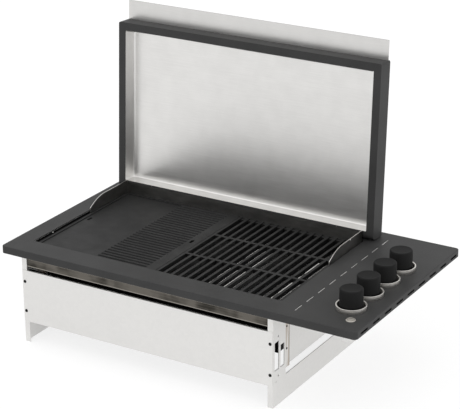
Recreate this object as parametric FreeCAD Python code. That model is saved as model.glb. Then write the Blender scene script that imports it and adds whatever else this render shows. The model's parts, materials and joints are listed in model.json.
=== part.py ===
import FreeCAD, Part
import math
import os

from FreeCAD import Vector

# A built-in gas grill that drops into a bench cut-out: sheet-metal frame, firebox, burners, gas train,
# cast cooking plates and a hinged lid. Millimetres, +Z up, front towards -Y.
# The origin is on the floor under the middle of the top panel, and the lid is stored open.

# Top panel
TOP_WIDTH = 1000.0
TOP_DEPTH = 560.0
TOP_HEIGHT = 260.0  # top surface above the feet
TOP_SHEET = 1.5
RIM_HEIGHT = 19.0
RIM_RETURN = 10.0
PANEL_CORNER_R = 10.0
PANEL_EDGE_R = 2.0
OPENING_LEFT = 53.0  # edges of the panel to the cooking opening
OPENING_RIGHT = 229.0
OPENING_FRONT = 66.0
OPENING_REAR = 75.0
OPENING_CORNER_R = 4.0

# Vent slits in the panel and slots in the right rim
VENT_COUNT = 9
VENT_LENGTH = 32.0
VENT_WIDTH = 2.0
VENT_FRONT = 52.0  # edges of the panel to the middles of the first and last slit
VENT_REAR = 60.0
VENT_FROM_EDGE = 177.0  # right edge of the panel to the row of slits
RIM_SLOT_LENGTH = 34.0
RIM_SLOT_HEIGHT = 5.5
RIM_SLOT_FRONT = 40.0
RIM_SLOT_REAR = 36.0
RIM_SLOT_DROP = 11.0  # panel surface to the slots' middle

# End frames
FRAME_MARGIN = 4.0  # cooking opening to the frame's outer face
FRAME_SHEET = 2.0
FRAME_SETBACK = 19.0  # rim to the frame's front face
FRAME_FLANGE = 14.5
FRAME_TOP_FLANGE = 16.0
WINDOW_MARGIN = 60.0  # frame's front face to its window
WINDOW_SILL = 65.0
WINDOW_HEAD = 30.0
WINDOW_CORNER_R = 3.0
FRONT_SLOT = (8.0, 20.0, 93.0, 73.0)  # setback from the frame's front, width, drop, height
SECOND_SLOT = (36.0, 18.0, 108.0, 58.0)
BOLT_HOLE_R = 2.5
BOLT_HOLE_SETBACK = 25.0
BOLT_HOLE_DROP = 81.0
BOLT_HOLE_SPACING = 102.0
PIN_HOLE_R = 1.6
PIN_HOLE_SETBACK = 15.0
PIN_HOLE_DROP = 196.0

# Rails and panels between the frames
RAIL_SHEET = 1.2
RAIL_HEIGHT = 49.0
RAIL_TOP_FOLD = 20.0
RAIL_LOWER_FOLD = 15.0
PANEL_DROP = 61.5  # top surface to the panel's folded edge
PANEL_HEIGHT = 141.0
PANEL_SHEET = 1.2
PANEL_FOLD = 12.0
PANEL_INSET = 0.5  # frame's outer face to the panel's end
PANEL_FOLD_GAP = 0.5  # frame's flange to the panel's folds
SCREW_R = 2.0
SCREW_HEAD_R = 4.2
SCREW_HEAD_T = 1.9
SCREW_LENGTH = 9.0
SCREW_HOLE_GAP = 0.1
SCREW_DROP = 92.5
SCREW_SPACING = 81.0

# Firebox, shields and guards
FIREBOX_SHEET = 1.2
COLLAR_GAP = 2.0  # opening edge to the firebox collar
COLLAR_FLANGE = 8.0
LEDGE_DROP = 18.0
LEDGE_WIDTH = 20.0
FIREBOX_DROP = 150.0
TAMER_RAIL_DROP = 62.0
TAMER_RAIL_WIDTH = 8.0
TRAY_SIDE = 55.8  # firebox wall to the pan, at the sides and at the ends
TRAY_END = 36.3
TRAY_DROP = 24.0
TRAY_CORNER_R = 8.0
TRAY_LIP = 18.0
TRAY_SHEET = 1.0
TRAY_GAP = 0.6
SHIELD_SHEET = 1.0
SHIELD_STEP = 7.0
SHIELD_STRIP = 21.0
SHIELD_TOP_DROP = 24.0
SHIELD_HEIGHT = 157.0
SHIELD_OVERLAP = 4.0  # strip hidden behind the frame beside the window
SHIELD_HOLE_R = 1.8
SHIELD_HOLES = (73.0, 131.0)
GUARD_SHEET = 1.5
GUARD_HEIGHT = 28.5
GUARD_FRONT_RISE = 6.5
GUARD_LENGTH = 175.0
GUARD_CURVE = 62.0
GUARD_FOOT = 14.0
REAR_GUARD_HEIGHT = 24.0

# Cooking plates
PLATE_GAP = 0.6
PLATE_DROP = 6.0
HOTPLATE_FIELD_DROP = 2.2
HOTPLATE_RIM = 8.0
HOTPLATE_BORDER = 30.0
RIB_PITCH = 14.0
RIB_CREST = 5.0
RIB_BASE = 10.0
RIB_DEPTH = 4.0
FINGER_HOLE_LENGTH = 20.0
FINGER_HOLE_WIDTH = 8.0
FINGER_HOLE_INSET = 19.0
GRILL_GAP_COUNT = 16
GRILL_BAR_TOP = 7.5
GRILL_BAR_FOOT = 5.0
GRILL_CROSS_TOP = 8.5
GRILL_END = 12.0
GRILL_SIDE_DEPTH = 10.0

# Burners
BURNER_COUNT = 4
BURNER_SIDE = 58.8  # firebox wall to the outer burners
BURNER_SPACING = 171.0  # two burners under each plate
BURNER_R = 13.0
BURNER_WALL = 1.2
BURNER_DROP = 80.0
BURNER_END_GAP = 9.0  # burner cap to the firebox's front wall
BURNER_PEG_R = 4.0
BURNER_TAIL = 14.0  # burner mouth behind the firebox's rear wall
MOUTH_R = 16.0
MOUTH_LENGTH = 8.0
PORT_COUNT = 9
PORT_LENGTH = 14.0
PORT_WIDTH = 1.8
WALL_GAP = 0.3
TAMER_WIDTH = 100.0
TAMER_RISE = 24.0
TAMER_SHEET = 1.2
TAMER_FOOT = 7.0
TAMER_END_GAP = 1.0
ELECTRODE_R = 3.5
ELECTRODE_WIRE_R = 1.0
ELECTRODE_OFFSET = 27.0
ELECTRODE_REACH = 40.0
ELECTRODE_HEX_R = 6.0
ELECTRODE_HEX_T = 6.0

# Gas train under the control area
KNOB_COUNT = 4
KNOB_SPACING = 86.5
KNOB_FRONT = 110.0  # front edge of the panel to the first knob
KNOB_FROM_EDGE = 70.0  # right edge of the panel to the row of knobs
KNOB_R = 28.3
KNOB_TOP_R = 27.3
KNOB_HEIGHT = 48.0
KNOB_EDGE = 2.5
KNOB_WALL = 2.6
KNOB_HUB_R = 8.5
KNOB_PUSH = 3.0
KNOB_FLOOR_GAP = 1.0  # pushed knob above the panel
KNOB_BORE_SPARE = 4.0
BEZEL_FOOT_R = 33.3
BEZEL_LIP_R = 36.9
BEZEL_LIP = 0.8
BEZEL_WALL = 2.0
BEZEL_HEIGHT = 11.8
STEM_R = 4.0
STEM_FLAT = 1.0
STEM_CLEARANCE = 0.05
STEM_TOP = 23.0
STEM_DEPTH = 24.0
STEM_HOLE_R = 8.0
VALVE_PLATE = 30.0
VALVE_PLATE_T = 3.0
VALVE_NECK_R = 10.0
VALVE_BLOCK = 26.0
VALVE_BLOCK_TOP = 26.0
VALVE_BLOCK_FOOT = 52.0
VALVE_OUTLET_R = 6.5
VALVE_OUTLET_LENGTH = 12.0
VALVE_BORE_SPARE = 1.0
MANIFOLD_SIDE = 22.0
MANIFOLD_WALL = 2.0
MANIFOLD_FRONT = 24.0  # manifold in front of the first valve
MANIFOLD_END = 45.0  # rear edge of the panel to the manifold's end
INLET_R = 10.4
INLET_BORE_R = 7.5
INLET_LENGTH = 32.0
PIPE_R = 4.0
PIPE_BORE_R = 3.0
PIPE_DROP = 40.0
PIPE_PITCH = 10.0
PIPE_BEND = 8.0
PIPE_BEHIND = 2.0  # injector holders to the nearest pipe's bend
PIPE_LEAD = 14.0  # valve outlet to the nearest pipe's bend line
INJECTOR_WIDTH = 14.0
INJECTOR_DEPTH = 14.0
INJECTOR_GAP = 2.0  # burner mouth to the injector holder
INJECTOR_FOOT = 9.0
JET_R = 4.5
JET_REACH = 7.0
PIPE_HOLE_MARGIN = 4.0

# Igniter
IGNITER_FROM_EDGE = 42.0
IGNITER_FRONT = 53.5
IGNITER_COLLAR_R = 11.5
IGNITER_COLLAR_T = 2.2
IGNITER_BODY_R = 9.0
IGNITER_BODY_LENGTH = 42.0
IGNITER_BUTTON_R = 7.4
IGNITER_BUTTON_RISE = 2.4  # button's crown above the collar
IGNITER_BUTTON_EDGE = 1.5
IGNITER_TRAVEL = 4.0
IGNITER_CLEARANCE = 0.05
IGNITER_NUT_R = 14.0
IGNITER_NUT_T = 5.0
IGNITER_HOLE_GAP = 0.2

# Lid, given as it lies shut: length from its rear wall, depth up from its rim
LID_SIDE_LAP = 26.0  # lid past the cooking opening
LID_FRONT_LAP = 9.8
LID_DEPTH = 48.0
LID_SHEET = 1.5
LID_RIM = 20.5
LID_CORNER_R = 5.0
LID_HEEL_R = 12.0  # rounded lower rear edge, which turns over the panel
LID_REST_GAP = 0.5
HINGE_RAISE = 3.5  # hinge axis above the heel's centre
LID_OPEN_ANGLE = 93.0
LID_GUARD_GAP = 0.7
LINER_SHEET = 0.8
LINER_DEPTH = 42.0
LINER_FLANGE = 12.0
LINER_CORNER_R = 6.0
HANDLE_SHEET = 1.2
HANDLE_REACH = 51.0
HANDLE_GRIP = 56.0  # length of the plate held inside the lid
HANDLE_INSET = 3.0
HANDLE_SLOT_GAP = 0.5

# Hinges
HINGE_FROM_END = 105.0  # lid's end to each hinge
EAR_SHEET = 3.0
EAR_HALF_WIDTH = 6.0
EAR_BASE_WIDTH = 26.0
EAR_BASE_DEPTH = 20.0
EAR_SLOT_GAP = 0.8
PIN_R = 3.0
PIN_CLEARANCE = 0.05
PIN_HALF_LENGTH = 7.0
CHEEK_SHEET = 2.5
CHEEK_GAP = 1.5
CRADLE_WEB = 2.0
CRADLE_TOP = 42.0

X_AXIS = Vector(1, 0, 0)
Y_AXIS = Vector(0, 1, 0)
Z_AXIS = Vector(0, 0, 1)
OVERCUT = 5.0

# Places worked out from the sizes above
FRONT_Y = -TOP_DEPTH / 2
PANEL_UNDER = TOP_HEIGHT - TOP_SHEET
COOK_OFFSET = (OPENING_LEFT - OPENING_RIGHT) / 2  # cooking box centre from the panel's centre
OPENING_WIDTH = TOP_WIDTH - OPENING_LEFT - OPENING_RIGHT
OPEN_Y0 = FRONT_Y + OPENING_FRONT
OPEN_Y1 = -FRONT_Y - OPENING_REAR
FRAME_HALF = OPENING_WIDTH / 2 + FRAME_MARGIN
FRAME_INNER = FRAME_HALF - FRAME_SHEET
FRAME_Y = TOP_DEPTH / 2 - FRAME_SETBACK
COLLAR_HALF = OPENING_WIDTH / 2 - COLLAR_GAP
COLLAR_IN = COLLAR_HALF - FIREBOX_SHEET
COLLAR_Y0 = OPEN_Y0 + COLLAR_GAP
COLLAR_Y1 = OPEN_Y1 - COLLAR_GAP
BOX_HALF = COLLAR_IN - LEDGE_WIDTH
BOX_Y0 = COLLAR_Y0 + FIREBOX_SHEET + LEDGE_WIDTH
BOX_Y1 = COLLAR_Y1 - FIREBOX_SHEET - LEDGE_WIDTH
LEDGE_Z = TOP_HEIGHT - LEDGE_DROP
FIREBOX_FLOOR = TOP_HEIGHT - FIREBOX_DROP
PLATE_TOP = TOP_HEIGHT - PLATE_DROP
PLATE_T = LEDGE_DROP - PLATE_DROP
PLATE_HALF = COLLAR_IN - GUARD_SHEET - PLATE_GAP
PLATE_Y0 = COLLAR_Y0 + FIREBOX_SHEET + PLATE_GAP
PLATE_Y1 = COLLAR_Y1 - FIREBOX_SHEET - GUARD_SHEET - PLATE_GAP
REAR_GUARD_Y = COLLAR_Y1 - FIREBOX_SHEET
BURNER_Z = TOP_HEIGHT - BURNER_DROP
BURNER_Y0 = BOX_Y0 + BURNER_END_GAP
BURNER_Y1 = BOX_Y1 + FIREBOX_SHEET + BURNER_TAIL
INJECTOR_Y = BURNER_Y1 + INJECTOR_GAP
KNOB_X = TOP_WIDTH / 2 - KNOB_FROM_EDGE
KNOB_LIFT = KNOB_PUSH + KNOB_FLOOR_GAP
PIPE_Z = TOP_HEIGHT - PIPE_DROP
IGNITER_X = TOP_WIDTH / 2 - IGNITER_FROM_EDGE
IGNITER_Y = FRONT_Y + IGNITER_FRONT
HINGE_UP = LID_HEEL_R + HINGE_RAISE
HINGE_SWEEP = math.hypot(LID_RIM - LID_HEEL_R, HINGE_UP)
HINGE_Y = REAR_GUARD_Y + LID_GUARD_GAP + HINGE_SWEEP
HINGE_Z = TOP_HEIGHT + LID_REST_GAP + HINGE_UP
LID_REAR_Y = HINGE_Y + LID_HEEL_R
LID_WIDTH = OPENING_WIDTH + 2 * LID_SIDE_LAP
HINGE_SPREAD = LID_WIDTH / 2 - HINGE_FROM_END  # lid's middle to each hinge
LID_LENGTH = LID_REAR_Y - OPEN_Y0 + LID_FRONT_LAP
LID_RIM_Z = TOP_HEIGHT + LID_REST_GAP


def box(x0, x1, y0, y1, z0, z1):
    return Part.makeBox(x1 - x0, y1 - y0, z1 - z0, Vector(x0, y0, z0))


def rod(radius, length, base, direction):
    return Part.makeCylinder(radius, length, base, direction)


def outline(points):
    """A closed flat face through corner points."""
    return Part.Face(Part.makePolygon(points + [points[0]]))


def revolved(profile, x, y, z):
    """A solid of revolution about a vertical axis, from (radius, height) corners."""
    face = outline([Vector(x + radius, y, z + height) for radius, height in profile])
    return face.revolve(Vector(x, y, z), Z_AXIS, 360)


def upright_edges(shape):
    """The straight edges of a shape that run along Z."""
    found = []
    for edge in shape.Edges:
        if abs(abs(edge.tangentAt(edge.FirstParameter).z) - 1) < 1e-6:
            found.append(edge)
    return found


def rounded_box(x0, x1, y0, y1, z0, z1, radius):
    block = box(x0, x1, y0, y1, z0, z1)
    return block.makeFillet(radius, upright_edges(block))


def cut_all(shape, tools):
    return shape.cut(Part.makeCompound(tools)) if tools else shape


def fuse_all(shapes):
    return shapes[0].multiFuse(shapes[1:]).removeSplitter()


def mirrored(shape):
    """The same piece on the other side of the cooking box."""
    return shape.mirror(Vector(COOK_OFFSET, 0, 0), X_AXIS)


def turned_back(shape):
    """The same piece on the other side of the middle, front to back."""
    return shape.mirror(Vector(0, 0, 0), Y_AXIS)


def save(node, shape):
    shape.exportStep("parts/" + node + ".step")


def burner_x(index):
    """Burners from left to right, two near each side wall."""
    reach = BOX_HALF - BURNER_SIDE
    half = BURNER_COUNT // 2
    if index < half:
        return COOK_OFFSET - reach + index * BURNER_SPACING
    return COOK_OFFSET + reach - (BURNER_COUNT - 1 - index) * BURNER_SPACING


def knob_y(index):
    return FRONT_Y + KNOB_FRONT + index * KNOB_SPACING


def along_row(first, last, index):
    """One of the row of vents, spaced evenly between margins from the front and rear edges."""
    return FRONT_Y + first + index * (TOP_DEPTH - first - last) / (VENT_COUNT - 1)


# Top panel: a shallow tray turned over, with a turned-in lower edge
def make_top_panel():
    half_w = TOP_WIDTH / 2
    half_d = TOP_DEPTH / 2
    low = TOP_HEIGHT - RIM_HEIGHT
    skin = rounded_box(-half_w, half_w, -half_d, half_d, low, TOP_HEIGHT, PANEL_CORNER_R)
    upper = [edge for edge in skin.Edges if edge.BoundBox.ZMin > TOP_HEIGHT - 1e-6]
    skin = skin.makeFillet(PANEL_EDGE_R, upper)
    wall = TOP_SHEET
    inner_r = PANEL_CORNER_R - wall
    hollow = rounded_box(
        wall - half_w, half_w - wall, wall - half_d, half_d - wall, low + wall, PANEL_UNDER, inner_r
    )
    lip = wall + RIM_RETURN
    mouth = box(lip - half_w, half_w - lip, lip - half_d, half_d - lip, low - OVERCUT, low + 2 * wall)
    return cut_all(skin, [hollow, mouth] + panel_cuts())


def panel_cuts():
    low = PANEL_UNDER - OVERCUT
    high = TOP_HEIGHT + OVERCUT
    x0 = COOK_OFFSET - OPENING_WIDTH / 2
    x1 = COOK_OFFSET + OPENING_WIDTH / 2
    cuts = [rounded_box(x0, x1, OPEN_Y0, OPEN_Y1, low, high, OPENING_CORNER_R)]
    rim_x = TOP_WIDTH / 2
    vent_x0 = rim_x - VENT_FROM_EDGE - VENT_WIDTH / 2
    half_slot = RIM_SLOT_LENGTH / 2
    slot_z0 = TOP_HEIGHT - RIM_SLOT_DROP - RIM_SLOT_HEIGHT / 2
    slot_z1 = slot_z0 + RIM_SLOT_HEIGHT
    for index in range(VENT_COUNT):
        y = along_row(VENT_FRONT, VENT_REAR, index)
        cuts.append(box(vent_x0, vent_x0 + VENT_WIDTH, y - VENT_LENGTH / 2, y + VENT_LENGTH / 2, low, high))
        y = along_row(RIM_SLOT_FRONT, RIM_SLOT_REAR, index)
        cuts.append(
            box(rim_x - 2 * TOP_SHEET, rim_x + OVERCUT, y - half_slot, y + half_slot, slot_z0, slot_z1)
        )
    for index in range(KNOB_COUNT):
        cuts.append(rod(STEM_HOLE_R, high - low, Vector(KNOB_X, knob_y(index), low), Z_AXIS))
    igniter_r = IGNITER_BODY_R + IGNITER_HOLE_GAP
    cuts.append(rod(igniter_r, high - low, Vector(IGNITER_X, IGNITER_Y, low), Z_AXIS))
    for side in (-1, 1):
        x = COOK_OFFSET + side * HINGE_SPREAD
        reach = EAR_SHEET / 2 + EAR_SLOT_GAP
        width = EAR_HALF_WIDTH + EAR_SLOT_GAP
        cuts.append(box(x - reach, x + reach, HINGE_Y - width, HINGE_Y + width, low, high))
    return cuts


# End frames: a folded side sheet with front and rear flanges, and a top flange under the panel
def make_right_frame():
    outer = COOK_OFFSET + FRAME_HALF
    inner = COOK_OFFSET + FRAME_INNER
    flange = outer - FRAME_FLANGE
    sheet = box(inner, outer, -FRAME_Y, FRAME_Y, 0, PANEL_UNDER)
    front = box(flange, outer, -FRAME_Y, FRAME_SHEET - FRAME_Y, 0, PANEL_UNDER)
    rear = box(flange, outer, FRAME_Y - FRAME_SHEET, FRAME_Y, 0, PANEL_UNDER)
    top = box(
        inner,
        outer + FRAME_TOP_FLANGE,
        FRAME_FLANGE - FRAME_Y,
        FRAME_Y - FRAME_FLANGE,
        PANEL_UNDER - FRAME_SHEET,
        PANEL_UNDER,
    )
    frame = fuse_all([sheet, front, rear, top])
    return cut_all(frame, frame_cuts(inner - OVERCUT, outer + OVERCUT))


def side_slot(slot, x0, x1):
    setback, width, drop, height = slot
    y = setback - FRAME_Y
    return box(x0, x1, y, y + width, TOP_HEIGHT - drop - height, TOP_HEIGHT - drop)


def side_hole(radius, setback, drop, x0, x1):
    return rod(radius, x1 - x0, Vector(x0, setback - FRAME_Y, TOP_HEIGHT - drop), X_AXIS)


def frame_cuts(x0, x1):
    reach = FRAME_Y - WINDOW_MARGIN
    window = box(x0, x1, -reach, reach, WINDOW_SILL, TOP_HEIGHT - WINDOW_HEAD)
    along = [e for e in window.Edges if abs(abs(e.tangentAt(e.FirstParameter).x) - 1) < 1e-6]
    cuts = [window.makeFillet(WINDOW_CORNER_R, along)]
    near = [
        side_slot(FRONT_SLOT, x0, x1),
        side_slot(SECOND_SLOT, x0, x1),
        side_hole(BOLT_HOLE_R, BOLT_HOLE_SETBACK, BOLT_HOLE_DROP, x0, x1),
        side_hole(BOLT_HOLE_R, BOLT_HOLE_SETBACK, BOLT_HOLE_DROP + BOLT_HOLE_SPACING, x0, x1),
        side_hole(PIN_HOLE_R, PIN_HOLE_SETBACK, PIN_HOLE_DROP, x0, x1),
    ]
    cuts += near
    cuts += [turned_back(cut) for cut in near]
    for base in screw_places():
        hole = rod(SCREW_R + SCREW_HOLE_GAP, FRAME_SHEET + 2 * OVERCUT, base - Y_AXIS * OVERCUT, Y_AXIS)
        cuts.append(hole)
        cuts.append(turned_back(hole))
    return cuts


def screw_places():
    """Screw axes over the right frame's front flange, at the front panel's face."""
    x = COOK_OFFSET + FRAME_HALF - FRAME_FLANGE / 2
    drops = (SCREW_DROP, SCREW_DROP + SCREW_SPACING)
    return [Vector(x, -FRAME_Y - PANEL_SHEET, TOP_HEIGHT - drop) for drop in drops]


def pipe_cut():
    """Opening in the right frame where the feed pipes pass."""
    reach = PIPE_R + PIPE_HOLE_MARGIN
    inner = COOK_OFFSET + FRAME_INNER
    y0 = pipe_rear_y(0) - reach
    y1 = pipe_rear_y(BURNER_COUNT - 1) + PIPE_R + WALL_GAP
    return box(inner - OVERCUT, inner + FRAME_SHEET + OVERCUT, y0, y1, PIPE_Z - reach, PIPE_Z + reach)


# Rails behind the frames' flanges, and panels screwed on in front of them
def make_front_rail():
    half = FRAME_INNER
    x0 = COOK_OFFSET - half
    x1 = COOK_OFFSET + half
    y0 = FRAME_SHEET - FRAME_Y
    low = PANEL_UNDER - RAIL_HEIGHT
    face = box(x0, x1, y0, y0 + RAIL_SHEET, low, PANEL_UNDER)
    upper = box(x0, x1, y0, y0 + RAIL_TOP_FOLD, PANEL_UNDER - RAIL_SHEET, PANEL_UNDER)
    lower = box(x0, x1, y0, y0 + RAIL_LOWER_FOLD, low, low + RAIL_SHEET)
    return fuse_all([face, upper, lower])


def make_front_panel():
    half = FRAME_HALF - PANEL_INSET
    fold_half = FRAME_HALF - FRAME_FLANGE - PANEL_FOLD_GAP
    x = COOK_OFFSET
    y0 = -FRAME_Y - PANEL_SHEET
    high = TOP_HEIGHT - PANEL_DROP
    low = high - PANEL_HEIGHT
    face = box(x - half, x + half, y0, y0 + PANEL_SHEET, low, high)
    upper = box(x - fold_half, x + fold_half, y0, y0 + PANEL_FOLD, high - PANEL_SHEET, high)
    lower = box(x - fold_half, x + fold_half, y0, y0 + PANEL_FOLD, low, low + PANEL_SHEET)
    holes = []
    for base in screw_places():
        hole = rod(SCREW_R + SCREW_HOLE_GAP, 2 * OVERCUT, base - Y_AXIS * OVERCUT, Y_AXIS)
        holes.append(hole)
        holes.append(mirrored(hole))
    return cut_all(fuse_all([face, upper, lower]), holes)


def make_panel_screws():
    screws = []
    for base in screw_places():
        head = rod(SCREW_HEAD_R, SCREW_HEAD_T, base - Y_AXIS * SCREW_HEAD_T, Y_AXIS)
        rim = [edge for edge in head.Edges if edge.BoundBox.YMax < base.y - SCREW_HEAD_T + 1e-6]
        head = head.makeChamfer(SCREW_HEAD_T / 2, rim)
        screw = head.fuse(rod(SCREW_R, SCREW_LENGTH, base, Y_AXIS))
        screws.append(screw)
        screws.append(mirrored(screw))
    return Part.makeCompound(screws + [turned_back(screw) for screw in screws])


# Plate frame: a collar under the panel, with the stepped ledge that carries the plates
def make_plate_frame():
    wall = FIREBOX_SHEET
    x = COOK_OFFSET
    low = LEDGE_Z - wall
    front = COLLAR_Y0 - COLLAR_FLANGE
    rear = COLLAR_Y1 + COLLAR_FLANGE
    collar = box(x - COLLAR_HALF, x + COLLAR_HALF, COLLAR_Y0, COLLAR_Y1, low, PANEL_UNDER)
    flanges = box(x - COLLAR_HALF, x + COLLAR_HALF, front, rear, PANEL_UNDER - wall, PANEL_UNDER)
    hollow = box(x - COLLAR_IN, x + COLLAR_IN, COLLAR_Y0 + wall, COLLAR_Y1 - wall, LEDGE_Z, TOP_HEIGHT)
    mouth = box(x - BOX_HALF, x + BOX_HALF, BOX_Y0, BOX_Y1, low - OVERCUT, TOP_HEIGHT)
    return cut_all(fuse_all([collar, flanges]), [hollow, mouth])


# Firebox: four welded sheets under the plate frame's ledge, two of them with a fold for the flame tamers
def firebox_sheet(half, y0, y1):
    x = COOK_OFFSET
    return box(x - half, x + half, y0, y1, FIREBOX_FLOOR + FIREBOX_SHEET, LEDGE_Z - FIREBOX_SHEET)


def tamer_fold(y0, y1):
    high = TOP_HEIGHT - TAMER_RAIL_DROP
    return box(COOK_OFFSET - BOX_HALF, COOK_OFFSET + BOX_HALF, y0, y1, high - FIREBOX_SHEET, high)


def wall_hole(radius, x, y):
    """Hole along Y for a round piece at the burners' height, through a wall that starts at y."""
    base = Vector(x, y - OVERCUT, BURNER_Z)
    return rod(radius + WALL_GAP, FIREBOX_SHEET + 2 * OVERCUT, base, Y_AXIS)


def make_firebox_front():
    outer = BOX_Y0 - FIREBOX_SHEET
    sheet = firebox_sheet(BOX_HALF + FIREBOX_SHEET, outer, BOX_Y0)
    fold = tamer_fold(BOX_Y0, BOX_Y0 + TAMER_RAIL_WIDTH)
    holes = [wall_hole(BURNER_PEG_R, burner_x(index), outer) for index in range(BURNER_COUNT)]
    return cut_all(fuse_all([sheet, fold]), holes)


def make_firebox_rear():
    sheet = firebox_sheet(BOX_HALF + FIREBOX_SHEET, BOX_Y1, BOX_Y1 + FIREBOX_SHEET)
    fold = tamer_fold(BOX_Y1 - TAMER_RAIL_WIDTH, BOX_Y1)
    holes = []
    for index in range(BURNER_COUNT):
        holes.append(wall_hole(BURNER_R, burner_x(index), BOX_Y1))
        holes.append(wall_hole(ELECTRODE_R, burner_x(index) + ELECTRODE_OFFSET, BOX_Y1))
    return cut_all(fuse_all([sheet, fold]), holes)


def make_firebox_right():
    x0 = COOK_OFFSET + BOX_HALF
    low = FIREBOX_FLOOR + FIREBOX_SHEET
    return box(x0, x0 + FIREBOX_SHEET, BOX_Y0, BOX_Y1, low, LEDGE_Z - FIREBOX_SHEET)


# Tray carrier: a flat frame under the firebox's walls, which holds the drip tray by its lip
def tray_half_width():
    return BOX_HALF - TRAY_SIDE


def tray_half_depth():
    return (BOX_Y1 - BOX_Y0) / 2 - TRAY_END


def make_tray_carrier():
    wall = FIREBOX_SHEET
    x = COOK_OFFSET
    y = (BOX_Y0 + BOX_Y1) / 2
    outer = BOX_HALF + wall
    half_w = tray_half_width() + TRAY_GAP
    half_d = tray_half_depth() + TRAY_GAP
    high = FIREBOX_FLOOR + wall
    plate = box(x - outer, x + outer, BOX_Y0 - wall, BOX_Y1 + wall, FIREBOX_FLOOR, high)
    mouth = box(x - half_w, x + half_w, y - half_d, y + half_d, FIREBOX_FLOOR - OVERCUT, high + OVERCUT)
    return plate.cut(mouth)


def make_drip_tray():
    sheet = TRAY_SHEET
    x = COOK_OFFSET
    y = (BOX_Y0 + BOX_Y1) / 2
    seat = FIREBOX_FLOOR + FIREBOX_SHEET
    low = seat - TRAY_DROP
    half_w = tray_half_width()
    half_d = tray_half_depth()
    rim_w = half_w + TRAY_LIP
    rim_d = half_d + TRAY_LIP
    lip = box(x - rim_w, x + rim_w, y - rim_d, y + rim_d, seat, seat + sheet)
    pan = rounded_box(x - half_w, x + half_w, y - half_d, y + half_d, low, seat + sheet, TRAY_CORNER_R)
    half_w -= sheet
    half_d -= sheet
    inner_r = TRAY_CORNER_R - sheet
    top = seat + 2 * sheet
    inner = rounded_box(x - half_w, x + half_w, y - half_d, y + half_d, low + sheet, top, inner_r)
    return lip.fuse(pan).cut(inner).removeSplitter()


# Heat shields: sheets inside the frames' windows, stepped in behind a screwed strip at each end
def make_right_shield():
    outer = COOK_OFFSET + FRAME_INNER
    strip = outer - SHIELD_SHEET
    wall = outer - SHIELD_STEP
    end = FRAME_Y - WINDOW_MARGIN + SHIELD_OVERLAP
    step = end - SHIELD_STRIP - SHIELD_OVERLAP
    high = TOP_HEIGHT - SHIELD_TOP_DROP
    low = high - SHIELD_HEIGHT
    corners = [
        (outer, -end),
        (outer, -step + SHIELD_SHEET),
        (wall, -step + SHIELD_SHEET),
        (wall, step - SHIELD_SHEET),
        (outer, step - SHIELD_SHEET),
        (outer, end),
        (strip, end),
        (strip, step),
        (wall - SHIELD_SHEET, step),
        (wall - SHIELD_SHEET, -step),
        (strip, -step),
        (strip, -end),
    ]
    shield = outline([Vector(x, y, low) for x, y in corners]).extrude(Z_AXIS * SHIELD_HEIGHT)
    y = (end + step) / 2
    holes = []
    for drop in SHIELD_HOLES:
        for side in (-y, y):
            base = Vector(strip - OVERCUT, side, TOP_HEIGHT - drop)
            holes.append(rod(SHIELD_HOLE_R, SHIELD_SHEET + 2 * OVERCUT, base, X_AXIS))
    return cut_all(shield, holes)


# Wind guards: upright sheets on the inside of the firebox collar
def make_right_guard():
    x = COOK_OFFSET + COLLAR_IN - GUARD_SHEET
    rear = REAR_GUARD_Y
    front = rear - GUARD_LENGTH
    foot = TOP_HEIGHT - GUARD_FOOT
    shoulder = TOP_HEIGHT + GUARD_HEIGHT
    knee = Vector(x, front, TOP_HEIGHT + GUARD_FRONT_RISE)
    crest = Vector(x, front + GUARD_CURVE, shoulder)
    rise = GUARD_HEIGHT - GUARD_FRONT_RISE
    middle = Vector(x, front + 0.44 * GUARD_CURVE, knee.z + 0.64 * rise)
    edges = [
        Part.LineSegment(Vector(x, front, foot), knee).toShape(),
        Part.Arc(knee, middle, crest).toShape(),
        Part.LineSegment(crest, Vector(x, rear, shoulder)).toShape(),
        Part.LineSegment(Vector(x, rear, shoulder), Vector(x, rear, foot)).toShape(),
        Part.LineSegment(Vector(x, rear, foot), Vector(x, front, foot)).toShape(),
    ]
    return Part.Face(Part.Wire(edges)).extrude(X_AXIS * GUARD_SHEET)


def make_rear_guard():
    half = COLLAR_IN - GUARD_SHEET
    return box(
        COOK_OFFSET - half,
        COOK_OFFSET + half,
        REAR_GUARD_Y - GUARD_SHEET,
        REAR_GUARD_Y,
        TOP_HEIGHT - GUARD_FOOT,
        TOP_HEIGHT + REAR_GUARD_HEIGHT,
    )


# Hotplate: a rimmed casting, one half smooth and one half ribbed, with a finger hole at each side
def make_hotplate():
    x0 = COOK_OFFSET - PLATE_HALF
    x1 = COOK_OFFSET - PLATE_GAP
    middle = (x0 + x1) / 2
    field = PLATE_TOP - HOTPLATE_FIELD_DROP
    slab = box(x0, x1, PLATE_Y0, PLATE_Y1, LEDGE_Z, PLATE_TOP)
    slab = slab.makeFillet(HOTPLATE_RIM / 2, upright_edges(slab))
    rim = HOTPLATE_RIM
    y0 = PLATE_Y0 + rim
    y1 = PLATE_Y1 - rim
    y = (PLATE_Y0 + PLATE_Y1) / 2
    cuts = [
        box(x0 + rim, middle, y0, y1, field, PLATE_TOP + OVERCUT),
        finger_hole(x0 + FINGER_HOLE_INSET, y),
        finger_hole(x1 - FINGER_HOLE_INSET, y),
    ]
    return cut_all(slab, cuts + rib_grooves(middle, x1 - HOTPLATE_BORDER, y0, y1))


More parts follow.
